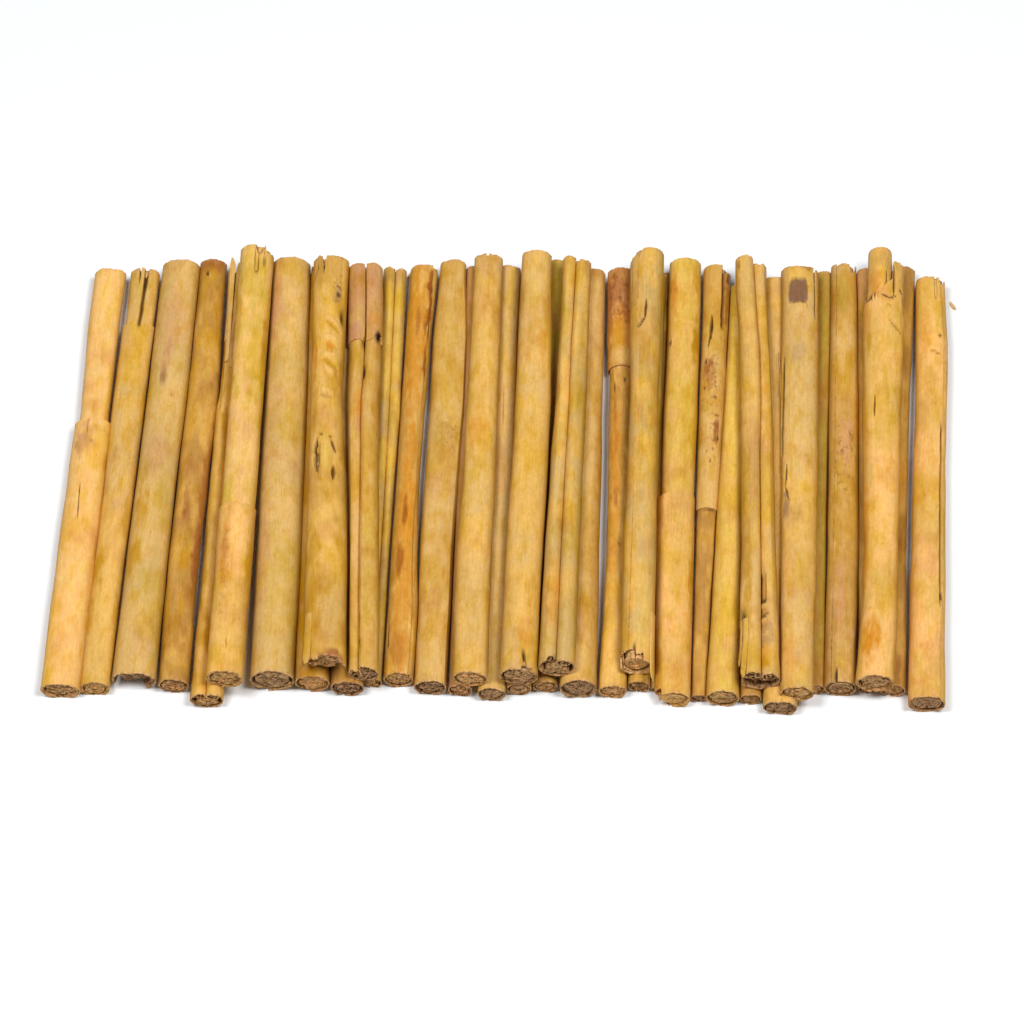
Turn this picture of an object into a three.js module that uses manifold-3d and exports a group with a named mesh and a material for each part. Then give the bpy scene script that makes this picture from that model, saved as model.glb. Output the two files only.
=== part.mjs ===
// A bundle of cinnamon sticks: thirty-nine rolled quills of inner bark, twenty-nine of them
// side by side in a lower row and ten in the hollows above it.
//
// Millimetres, +Z up. The quills run along Y, the row runs along X, and the undersides of
// the lower row lie on Z = 0. The origin is at the middle of the bundle's footprint.

import * as THREE from 'three';
import { mergeVertices } from 'three/addons/utils/BufferGeometryUtils.js';
import Module from 'manifold-3d';

// ---------------------------------------------------------------- driving dimensions

const SIDES = 12; // sides of a quill's section
const FLATS = 1 / Math.cos(Math.PI / SIDES); // brings the flats, not the corners, to the true girth
const RINGS = 5; // sections along a quill, its two ends included
const LIP = 0.1; // how far the roll draws in towards the lip, as a share of its half width
const LIP_FROM = 210; // degrees from the lip, round the roll, where that begins
const GROOVE = 0.36; // depth of the groove between the two rolls of a double quill
const GROOVE_HALF_WIDTH = 19; // degrees from the bottom of that groove to its shoulders
const BOW = 0.35; // how far a quill bends sideways between its ends
const SWELL = 0.025; // how much its girth varies, as a share
const END_RECESS = 1.0; // the rolled layers sink this far inside the cut rim
const END_CORE = 0.6; // reach of those sunken layers, as a share of the rim
const HOLLOW_DEPTH = 9; // depth of the open roll's hollow
const HOLLOW_REACH = 0.8; // reach of that hollow
const RAGGED = 0.45; // unevenness of a plain cut end
const PRESS = 0.45; // an upper quill presses this far into what carries it
const STEP_RUN = 0.5; // length over which the edge of an outer layer rises
const RIB_SECTION = { width: 7, bottom: 1, top: 2 }; // hidden ribs that join the lower row
const RIB_PLACES = [-30, 30]; // where they cross, along Y
const BARK = { color: 0xd6a55c, roughness: 0.78, metalness: 0 };

// Each quill's two ends are [x, y, width, height], with y where the end is cut.
//   seam    degrees from +X where the outer edge of the roll lies, 90 being the top
//   twin    the same for the groove of a double roll
//   sleeve  an outer layer over part of the length: [from, to, thickness], 0 front, 1 back
//   torn    stretches where an end stops short: [end, from angle, to angle, shortfall]
//   open    the front end is a hollow tube, not packed with inner rolls
//   press   its own depth of rest on the row below, in place of PRESS
const LOWER = [
  quill([-111.2, -65.4, 9.2, 6.9], [-106.0, 62.1, 8.2, 6.1], { seam: 135, sleeve: [0, 0.64, 0.35] }),
  quill([-102.5, -64.4, 7.2, 6.0], [-97.0, 61.8, 8.0, 6.8], { seam: 75, torn: [['back', 60, 110, 6]] }),
  quill([-92.7, -62.7, 11.2, 8.6], [-87.2, 64.1, 9.9, 7.9], {
    seam: 15,
    open: true,
    torn: [['front', 200, 300, 3]],
  }),
  quill([-82.6, -63.5, 7.7, 7.0], [-78.9, 65.4, 6.8, 6.2], { seam: 45 }),
  quill([-74.0, -67.7, 8.4, 7.2], [-71.2, 64.2, 7.2, 6.3], { twin: 105, sleeve: [0, 0.7, 0.25] }),
  quill([-57.7, -62.5, 11.2, 10.3], [-58.1, 64.3, 10.0, 9.4], { seam: 15 }),
  quill([-47.4, -62.6, 8.8, 8.2], [-50.2, 65.3, 6.2, 5.7], { seam: 105, torn: [['back', 120, 400, 3]] }),
  quill([-38.6, -63.7, 8.3, 7.4], [-43.2, 64.0, 6.3, 5.5], { seam: 75 }),
  quill([-32.2, -61.1, 4.2, 3.9], [-30.7, 64.4, 5.8, 5.6], { twin: 75 }),
  quill([-25.9, -60.9, 7.8, 7.4], [-22.7, 64.4, 7.2, 6.7], { seam: 75 }),
  quill([-17.7, -63.0, 8.1, 7.3], [-15.0, 66.7, 6.8, 5.9], { seam: 135 }),
  quill([-10.2, -63.3, 6.1, 5.7], [-9.3, 66.0, 4.2, 3.9], { seam: 105 }),
  quill([-2.2, -64.6, 7.1, 6.6], [0.3, 65.8, 5.3, 4.8], { seam: 45 }),
  quill([4.7, -62.8, 5.9, 5.8], [6.3, 65.4, 5.8, 5.6], { seam: 135 }),
  quill([11.3, -61.9, 6.5, 6.1], [12.5, 67.6, 5.7, 5.3], { seam: 75 }),
  quill([19.6, -63.3, 9.5, 9.4], [22.0, 63.6, 7.4, 7.3], { seam: 45 }),
  quill([28.4, -63.1, 7.2, 6.2], [30.1, 64.3, 7.1, 6.2], { seam: 45, sleeve: [0.765, 1, 0.3] }),
  quill([35.1, -61.3, 5.6, 5.5], [38.8, 63.6, 6.3, 6.2], { seam: 135 }),
  quill([39.2, -61.2, 2.6, 2.5], [42.0, 65.9, 2.4, 2.4], { seam: 75 }),
  quill([43.8, -65.3, 7.9, 7.2], [46.9, 66.9, 8.5, 7.7], {
    seam: 15,
    sleeve: [0, 0.47, 0.25],
    torn: [['front', 130, 260, 2]],
  }),
  quill([50.1, -63.9, 3.9, 3.6], [55.5, 65.8, 6.6, 6.1], { twin: 45, sleeve: [0.44, 1, 0.3] }),
  quill([56.0, -65.0, 8.4, 7.9], [61.5, 60.9, 4.9, 4.6], { seam: 165 }),
  quill([63.2, -64.4, 5.4, 5.1], [66.1, 65.9, 3.7, 3.5], { seam: 105 }),
  quill([70.5, -67.2, 8.7, 6.8], [71.2, 63.1, 7.0, 5.4], { seam: 105 }),
  quill([79.3, -61.1, 5.1, 4.6], [84.1, 66.3, 3.7, 3.4], { seam: 105 }),
  quill([85.9, -61.5, 8.0, 7.3], [89.1, 67.1, 6.7, 6.1], { twin: 105 }),
  quill([93.1, -60.7, 5.3, 4.8], [95.3, 66.2, 5.6, 5.3], { seam: 75 }),
  quill([99.2, -61.4, 6.2, 5.7], [105.1, 66.7, 5.8, 5.3], { seam: 45 }),
  quill([107.3, -65.8, 9.5, 8.0], [112.1, 63.1, 7.9, 6.5], { seam: 45, torn: [['back', 70, 110, 1.5]] }),
];

const UPPER = [
  quill([-69.4, -64.8, 8.9, 8.3], [-66.8, 64.2, 9.0, 8.3], {
    seam: 105,
    sleeve: [0, 0.41, 0.45],
    torn: [['back', 75, 140, 5], ['back', 140, 200, 2]],
  }),
  quill([-44.3, -61.8, 10.9, 9.4], [-47.1, 62.7, 9.2, 7.9], {
    seam: 135,
    torn: [['front', -90, 110, 2.6], ['back', 120, 200, 2]],
  }),
  quill([-34.4, -62.5, 7.6, 6.6], [-38.0, 61.9, 8.5, 7.3], { twin: 75, sleeve: [0.81, 1, 0.3] }),
  quill([-7.6, -63.3, 9.1, 8.0], [-5.5, 66.6, 7.7, 6.8], { seam: 45 }),
  quill([4.7, -63.0, 9.6, 8.6], [7.2, 65.9, 7.4, 6.6], { seam: 45, torn: [['front', 20, 70, 1.6]] }),
  quill([14.1, -61.2, 9.3, 8.5], [17.8, 64.3, 8.0, 7.2], { twin: 75, torn: [['back', -90, 75, 1.5]] }),
  quill([34.3, -59.2, 8.4, 7.7], [36.7, 66.0, 9.0, 8.3], {
    seam: 45,
    torn: [['front', 110, 190, 3], ['back', 105, 200, 3.2]],
  }),
  quill([65.2, -62.8, 10.3, 8.8], [63.9, 66.1, 8.4, 7.2], {
    twin: 75,
    torn: [['front', 60, 120, 2.4], ['back', -90, 75, 1.8]],
  }),
  quill([74.7, -65.4, 8.3, 7.3], [77.1, 63.6, 9.8, 8.6], { seam: 165, press: 2 }),
  quill([94.3, -62.4, 9.1, 8.0], [98.4, 68.4, 9.0, 7.9], {
    seam: 135,
    sleeve: [0, 0.886, 0.3],
    torn: [['back', -90, 60, 4]],
  }),
];

function quill(front, back, features) {
  return { ends: [end(front), end(back)], ...features };
}

function end([x, y, width, height]) {
  return { x, y, width, height };
}

// ------------------------------------------------------------------- how the quills lie

// A lower quill lies on the floor. An upper one rests on the lower ones that it spans, each
// pair touching as two ellipses do.
function settle(lower, upper) {
  for (const piece of lower) {
    piece.ends.forEach((place) => {
      place.z = place.height / 2;
    });
  }
  for (const piece of upper) {
    piece.ends.forEach((place, side) => {
      const heights = lower.map((carrier) => restingHeight(place, carrier.ends[side]));
      place.z = Math.max(place.height / 2, ...heights) - (piece.press ?? PRESS);
    });
  }
}

function restingHeight(place, carrier) {
  const offset = Math.abs(place.x - carrier.x) / ((place.width + carrier.width) / 2);
  const rise = ((place.height + carrier.height) / 2) * Math.sqrt(Math.max(0, 1 - offset ** 2));
  return offset < 1 ? carrier.z + rise : 0;
}

// ------------------------------------------------------------------------ one quill's form

// The section's corners as { angle, reach }: a scroll has a lip where its outer edge ends,
// and a double roll a groove. Angles in degrees, reach as a share of the half width.
function section(piece) {
  const pitch = 360 / SIDES;
  const angles = Array.from({ length: SIDES }, (_, index) => (index + 0.5) * pitch);
  if (piece.twin !== undefined) {
    return angles.map((angle) => grooved(angle, piece.twin, pitch));
  }
  return angles.flatMap((angle) => lipped(angle, piece.seam));
}

function grooved(angle, groove, pitch) {
  const turn = signedTurn(angle - groove);
  if (Math.abs(turn) < 1) {
    return { angle, reach: 1 - GROOVE };
  }
  if (Math.abs(turn) < pitch + 1) {
    return { angle: groove + Math.sign(turn) * GROOVE_HALF_WIDTH, reach: 0.97 };
  }
  return { angle, reach: 1 };
}

function lipped(angle, seam) {
  const wound = (((angle - seam) % 360) + 360) % 360;
  const corner = { angle, reach: 1 - LIP * THREE.MathUtils.smoothstep(wound, LIP_FROM, 360) };
  if (wound > 1) {
    return [corner];
  }
  return [{ angle: angle - 4, reach: 1 - LIP }, corner];
}

function signedTurn(degrees) {
  return ((((degrees + 180) % 360) + 360) % 360) - 180;
}

// Sections along the quill as { along, thickness }, with a pair at the edge of a sleeve.
function stations(piece) {
  const plain = Array.from({ length: RINGS }, (_, index) => index / (RINGS - 1));
  const [from, to, thickness] = piece.sleeve ?? [2, 2, 0];
  const run = STEP_RUN / lengthOf(piece) / 2;
  const edges = [from, to].filter((along) => along > 0 && along < 1);
  const all = [...plain, ...edges.flatMap((along) => [along - run, along + run])];
  return all
    .sort((first, second) => first - second)
    .map((along) => ({ along, thickness: along > from - run && along < to ? thickness : 0 }));
}

function lengthOf(piece) {
  return piece.ends[1].y - piece.ends[0].y;
}

// How far the cut end stops short at one angle: its torn stretches and a little unevenness.
function shortfall(piece, endName, angle, phase) {
  const uneven = RAGGED * (0.5 + 0.5 * Math.sin(angle * 0.061 + phase * 2.3));
  const torn = (piece.torn ?? []).filter(([where, from, to]) => {
    const turn = (((angle - from) % 360) + 360) % 360;
    return where === endName && turn <= to - from;
  });
  return uneven + torn.reduce((sum, stretch) => sum + stretch[3], 0);
}

// One ring of corners across the quill. `inset` moves them towards the axis and `sunk`
// moves them along it, into the end.
function ring(piece, corners, station, phase, inset, sunk) {
  const [front, back] = piece.ends;
  const { along, thickness } = station;
  const mix = (name) => THREE.MathUtils.lerp(front[name], back[name], along);
  const bow = BOW * Math.sin(Math.PI * along) * Math.sin(phase * 1.7);
  const swell = 1 + SWELL * Math.sin(along * 7 + phase * 2.1);
  return corners.map(({ angle, reach }) => {
    const turn = THREE.MathUtils.degToRad(angle);
    const across = (mix('width') / 2) * swell * reach * FLATS + thickness;
    const upright = (mix('height') / 2) * reach * FLATS + thickness;
    const x = mix('x') + bow + across * inset * Math.cos(turn);
    const z = mix('z') + upright * inset * Math.sin(turn);
    const y = mix('y') + endShift(piece, along, angle, phase) + sunk;
    return new THREE.Vector3(x, y, z);
  });
}

function endShift(piece, along, angle, phase) {
  if (along === 0) {
    return shortfall(piece, 'front', angle, phase);
  }
  return along === 1 ? -shortfall(piece, 'back', angle, phase + 1) : 0;
}

// The two corners under a lower quill are pressed flat on the floor.
function restOnFloor(corners, points) {
  points.forEach((point, index) => {
    if (Math.abs(signedTurn(corners[index].angle - 270)) < 180 / SIDES + 5) {
      point.z = 0;
    }
  });
}

// The rings from the sunken front layers, over the rim, along the quill and into the back.
function quillRings(piece, phase) {
  const corners = section(piece);
  const places = stations(piece);
  const body = places.map((station) => ring(piece, corners, station, phase, 1, 0));
  if (piece.onFloor) {
    body.forEach((points) => restOnFloor(corners, points));
  }
  const first = places[0];
  const last = places[places.length - 1];
  const depth = piece.open ? HOLLOW_DEPTH : END_RECESS;
  const reach = piece.open ? HOLLOW_REACH : END_CORE;
  const frontCore = ring(piece, corners, first, phase, reach, depth);
  const backCore = ring(piece, corners, last, phase, END_CORE, -END_RECESS);
  return [frontCore, ...body, backCore];
}

// Rings joined by quads, each end closed by a fan about its middle.
function loft(rings) {
  const count = rings[0].length;
  const middle = (points) => points
    .reduce((sum, point) => sum.add(point), new THREE.Vector3())
    .divideScalar(count);
  const positions = [...rings.flat(), middle(rings[0]), middle(rings[rings.length - 1])];
  const faces = [];
  for (let level = 0; level < rings.length - 1; level += 1) {
    for (let side = 0; side < count; side += 1) {
      const next = (side + 1) % count;
      const here = level * count;
      const there = here + count;
      faces.push(here + side, there + side, there + next);
      faces.push(here + side, there + next, here + next);
    }
  }
  const frontMiddle = rings.length * count;
  const lastRing = (rings.length - 1) * count;
  for (let side = 0; side < count; side += 1) {
    const next = (side + 1) % count;
    faces.push(frontMiddle, side, next);
    faces.push(frontMiddle + 1, lastRing + next, lastRing + side);
  }
  const geometry = new THREE.BufferGeometry().setFromPoints(positions);
  geometry.setIndex(faces);
  return geometry;
}

// --------------------------------------------------------------------- joining the bundle

const wasm = await Module();
wasm.setup();

function solid(geometry) {
  const bare = geometry.clone();
  bare.deleteAttribute('normal');
  bare.deleteAttribute('uv');
  const merged = mergeVertices(bare);
  const vertProperties = new Float32Array(merged.attributes.position.array);
  const triVerts = new Uint32Array(merged.index.array);
  return new wasm.Manifold(new wasm.Mesh({ numProp: 3, vertProperties, triVerts }));
}

function geometryOf(body) {
  const mesh = body.getMesh();
  const geometry = new THREE.BufferGeometry();
  geometry.setAttribute('position', new THREE.BufferAttribute(mesh.vertProperties, 3));
  geometry.setIndex(new THREE.BufferAttribute(mesh.triVerts, 1));
  return geometry;
}

// A rib runs inside the lower row from its first quill to its last.
function rib(place) {
  const { width, bottom, top } = RIB_SECTION;
  const [first, last] = [LOWER[0], LOWER[LOWER.length - 1]];
  const left = (first.ends[0].x + first.ends[1].x) / 2;
  const right = (last.ends[0].x + last.ends[1].x) / 2;
  const box = new THREE.BoxGeometry(right - left, width, top - bottom);
  return box.translate((left + right) / 2, place, (top + bottom) / 2);
}

function buildBundle() {
  settle(LOWER, UPPER);
  LOWER.forEach((piece) => {
    piece.onFloor = true;
  });
  const quillForms = [...LOWER, ...UPPER].map((piece, index) => loft(quillRings(piece, index)));
  const ribs = RIB_PLACES.map(rib);
  return [...ribs, ...quillForms].map(solid).reduce((whole, next) => whole.add(next));
}

const geometry = geometryOf(buildBundle());
geometry.computeBoundingBox();
const middle = geometry.boundingBox.getCenter(new THREE.Vector3());
geometry.translate(-middle.x, -middle.y, 0);
geometry.computeVertexNormals();
const sticks = new THREE.Mesh(geometry, new THREE.MeshStandardMaterial(BARK));
sticks.name = 'cinnamon_sticks';

const bundle = new THREE.Group();
bundle.add(sticks);

export default bundle;
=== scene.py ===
"""The looks of a bundle of cinnamon sticks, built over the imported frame.

Thirty-nine quills lie side by side, ten of them in the hollows of the others. Each is made
as the real one is: a sheet of bark rolled up from one edge or from both, with smaller rolls
packed inside, sometimes an outer layer over part of its length, and marks on its bark.

Shapes are worked out in millimetres (X along the row, Y along the quills, Z up) and turned
to metres when a mesh is made. A turn is an angle round a quill in degrees from +X, with 90
at the top. The front ends face the camera.
"""

import math
from collections import namedtuple

import bmesh
import bpy
import numpy as np
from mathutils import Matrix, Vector


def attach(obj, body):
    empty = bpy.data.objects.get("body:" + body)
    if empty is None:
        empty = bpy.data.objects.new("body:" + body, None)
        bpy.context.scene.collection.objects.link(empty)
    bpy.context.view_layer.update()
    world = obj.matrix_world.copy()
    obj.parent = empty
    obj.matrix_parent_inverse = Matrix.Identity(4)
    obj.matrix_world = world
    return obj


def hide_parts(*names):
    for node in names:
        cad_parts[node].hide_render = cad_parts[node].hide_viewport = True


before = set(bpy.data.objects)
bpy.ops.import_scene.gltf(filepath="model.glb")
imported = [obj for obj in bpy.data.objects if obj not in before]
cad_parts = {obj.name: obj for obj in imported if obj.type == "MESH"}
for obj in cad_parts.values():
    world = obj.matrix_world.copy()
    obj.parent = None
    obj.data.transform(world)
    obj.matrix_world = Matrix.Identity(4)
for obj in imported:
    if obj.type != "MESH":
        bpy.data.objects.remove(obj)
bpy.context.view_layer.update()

MM = 0.001

# --- sizes

FINE, COARSE = 3.6, 14.0  # degrees between a sheet's columns, on the upper side and below
FINE_ARC = 16.0  # over a small quill's half width this is how many degrees are enough
ROW_GAP, CLOSE_GAP = 1.8, 0.7  # between rows of points, and where a mark is small
NEAR_END = np.array([0, 0.35, 0.9, 1.8])  # the first rows, from an end
LIP, LIP_FROM = 0.1, 210  # a roll draws in by this share, from so many degrees after its lip
SHEET = 0.085  # thickness of the bark, as a share of a quill's half width
SWELL = 0.012  # how much its girth varies, as a share
PRESS = 0.25  # an upper quill presses this far into what carries it
RAGGED = 0.45  # unevenness of a plain cut end
JAGGED = 1.6  # a torn end is uneven by up to a quarter of this
FRAY = 0.9  # how far the hidden edge inside a cut end stops short
EASE = 16.0  # length over which rows make up for an end that stops short
FLOOR_GAP = 0.02  # the lowest points stay this far above the floor
CENTRING = (0.164, -0.359, 0)  # brings the middle of the row's footprint to the origin

# --- tones


def linear(red, green, blue):
    """A screen colour, 0 to 255, as scene light."""
    shares = np.array([red, green, blue]) / 255
    return np.where(shares > 0.04045, ((shares + 0.055) / 1.055) ** 2.4, shares / 12.92)


SCREEN_TONES = {
    "pale": (242, 194, 118), "gold": (228, 180, 96), "tan": (220, 177, 106),
    "khaki": (212, 174, 106), "yellow": (226, 185, 88), "peach": (241, 186, 110),
    "honey": (210, 162, 80), "mustard": (198, 144, 24), "olive": (184, 150, 60),
    "brown": (184, 136, 66), "orange": (214, 142, 38), "rosy": (206, 150, 104),
    "russet": (158, 92, 42), "ash": (148, 114, 92), "plum": (124, 88, 82),
    "chestnut": (128, 72, 36), "umber": (82, 44, 18), "dark": (24, 12, 6),
    # The last tone on the next line is painted shade: the dark in the pits of the cut ends, in a crack and
    # in creases by a torn edge.
    "raw": (236, 184, 140), "rust": (150, 76, 14), "crevice": (96, 60, 38),
}
TONES = {name: linear(*screen) for name, screen in SCREEN_TONES.items()}
FLANK_SHADE = np.array([0.23, 0.29, 0.46])  # painted shade: how much darker the bark is made low on its sides and below, where its neighbours shade it
GILT = np.array([0.07, 0.11, 0.52])  # what its yellow patches lack of each colour
ROSE = np.array([0.1, 0.18, 0.16])  # and what its brownish ones lack

# --- noise

CELLS = 128
LATTICE = np.random.default_rng(7).random((CELLS, CELLS))


def smooth(value, low, high):
    share = np.clip((value - low) / (high - low), 0, 1)
    return share * share * (3 - 2 * share)


def noise(across, along, seed, wrap=CELLS):
    """Soft random hills from 0 to 1, one to each whole step, repeating after `wrap` across."""
    across, along = np.broadcast_arrays(across + 0.0, along + 41.7 * seed)
    cell_a, cell_b = np.floor(across).astype(int), np.floor(along).astype(int)
    part_a, part_b = smooth(across - cell_a, 0, 1), smooth(along - cell_b, 0, 1)

    def edge(b):
        left, right = (LATTICE[(a % wrap + 31 * seed) % CELLS, b % CELLS] for a in (cell_a, cell_a + 1))
        return left * (1 - part_a) + right * part_a

    return edge(cell_b) * (1 - part_b) + edge(cell_b + 1) * part_b


# --- marks on the bark

# `shape(turn, y)` gives how far the bark rises and how strongly it takes the tone, `turns`
# and `along` where the mark needs points close together.
Mark = namedtuple("Mark", "shape tone turns along", defaults=(None, None))

TURN_MM = 0.07  # millimetres to a degree on a quill 8 across
SMALL_STAIN, SMALL_DENT = 3.2, 4  # those that reach less far need close points


def around(middle, reach):
    return middle - reach, middle + reach


def between(turn, degrees):
    """Degrees round the quill from one angle to another, -180 to 180."""
    return (turn - degrees + 180) % 360 - 180


def apart(turn, y, spot, power=2):
    """How far from a spot's middle: 1 at its edge, and squarish with a higher power."""
    degrees, along, spread, reach = spot
    return (between(turn, degrees) / spread) ** power + ((y - along) / reach) ** power


def stain(tone, degrees, along, spread, reach, strength=0.8):
    """A blotch that reaches `spread` degrees to each side and `reach` along."""

    def shape(turn, y):
        ragged = 1.1 * (noise(turn / 16, y / 2.2, 3) + 0.6 * noise(turn / 7, y / 1.1, 5) - 0.8)
        away = apart(turn, y, (degrees, along, spread, reach))
        return 0.0, strength * smooth(1.15 - away + ragged, 0, 1.1)

    return Mark(shape, tone, along=around(along, reach) if reach < SMALL_STAIN else None)


def stains(tone, *spots):
    """Blotches of one tone: (degrees, along, spread, reach) and the strength where it isn't 0.8."""
    return [stain(tone, *spot) for spot in spots]


def patch(tone, degrees, along, spread, reach, strength):
    """A squarish spot with a clear edge, where the surface is gone."""

    def shape(turn, y):
        ragged = 0.5 * (noise(turn / 7, y / 1.2, 4) - 0.5)
        away = apart(turn, y, (degrees, along, spread, reach), 4)
        weight = smooth(1.1 - away + ragged, 0, 0.3)
        return -0.12 * weight, strength * weight

    return Mark(shape, tone, around(degrees, spread + 3), around(along, reach + 1))


def specks(degrees, along, spread, reach, strength=1):
    """A patch where the material adds many small dark spots."""

    def shape(turn, y):
        away = apart(turn, y, (degrees, along, spread, reach))
        return 0.0, strength * smooth(1.1 - away, 0, 0.9)

    return Mark(shape, "specks")


def dent(degrees, along, spread, reach, depth, tone, strength):
    """A shallow hollow, or a swelling where the depth is negative."""

    def shape(turn, y):
        window = np.exp(-apart(turn, y, (degrees, along, spread, reach)))
        return -depth * window, strength * window

    return Mark(shape, tone, along=around(along, reach) if reach < SMALL_DENT else None)


def crack(degrees, start, stop, width, depth=0.7, lean=0.0, tone="dark"):
    """A split along the bark that leans round the quill by `lean` degrees on its way back."""

    def shape(turn, y):
        share = np.clip((y - start) / (stop - start), 0, 1)
        wavy = 2.5 * (noise(0.0, y / 2.2, 9) - 0.5)
        away = np.abs(between(turn, degrees + lean * share + wavy)) * TURN_MM / width
        taper = smooth(y, start - 1, start + 1.5) * (1 - smooth(y, stop - 1.5, stop + 1))
        weight = (1 - smooth(away, 0.35, 1.3)) * taper
        return -depth * weight, 0.92 * weight

    return Mark(shape, tone, (degrees + min(lean, 0) - 4, degrees + max(lean, 0) + 4),
                (start - 1, stop + 1) if stop - start < 8 else None)


def knot(degrees, along, radius, tone="brown"):
    """A small round scar with a raised rim."""

    def shape(turn, y):
        away = np.hypot(between(turn, degrees) * TURN_MM, (y - along) * 0.7) / radius
        rim = 0.16 * np.exp(-5 * (away - 1) ** 2)
        pit = 0.3 * (1 - smooth(away, 0.2, 0.9))
        return rim - pit, 0.85 * (1 - smooth(away, 0.5, 1.5))

    return Mark(shape, tone, around(degrees, 25 * radius), around(along, 2 * radius))


def scar(start, stop, width, depth, tone="dark", strength=0.9):
    """A crease from one (turn, along) to another; a ridge where the depth is negative."""
    (turn_a, y_a), (turn_b, y_b) = start, stop
    across, length = between(turn_b, turn_a) * TURN_MM, y_b - y_a

    def shape(turn, y):
        x, on = between(turn, turn_a) * TURN_MM, y - y_a
        share = np.clip((x * across + on * length) / (across**2 + length**2), 0, 1)
        away = np.hypot(x - share * across, on - share * length)
        away = away + 0.35 * width * (noise(turn / 3, y / 0.5, 8) - 0.5)
        taper = 0.35 + 0.65 * np.sin(np.pi * np.clip(share, 0.04, 0.96))
        weight = 1 - smooth(away / (width * taper), 0.3, 1.3)
        return -depth * weight, strength * weight

    return Mark(shape, tone, (min(turn_a, turn_b) - 4, max(turn_a, turn_b) + 4),
                (min(y_a, y_b) - 1, max(y_a, y_b) + 1))


# --- the quills and where they lie

TURNS = np.arange(0.0, 360.0, 2.0)


def on_circle(turn, reach):
    angle = np.radians(turn)
    return np.stack([reach * np.cos(angle), reach * np.sin(angle)], axis=-1)


def spun(points, degrees):
    """Points turned about the origin."""
    angle = np.radians(degrees)
    x, y = points[..., 0], points[..., 1]
    return np.stack([x * np.cos(angle) - y * np.sin(angle),
                     x * np.sin(angle) + y * np.cos(angle)], axis=-1)


def roll_reach(wound):
    """Reach of a single roll, `wound` degrees from its lip: it draws in once each turn."""
    wound = np.where(wound < 0, wound + 360, wound)
    return 1 - LIP * sum(smooth(wound, LIP_FROM + start, 360 + start) for start in (0, 360, 720))


def fitted(reach):
    """Middle and half size of an outline, so that a drawn-in roll still has its full girth."""
    outline = on_circle(TURNS, reach)
    low, high = outline.min(axis=0), outline.max(axis=0)
    return (low + high) / 2, (high - low) / 2


def along_course(y, places):
    """What a list of (y, value, ...), back to front, gives at these places along."""
    at, *values = np.array(places)[::-1].T
    return [np.interp(y, at, value) for value in values]


STRAY = 5  # a seam strays this many degrees to each side
SEAM_BELOW = 262  # where the lip of a quill lies that doesn't show it

# An outer layer over part of a quill: shares of the length where it starts and stops, its
# thickness, tones, and its own course and torn stretches.
Sleeve = namedtuple("Sleeve", "start stop depth tones course torn", defaults=((), ()))


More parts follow.
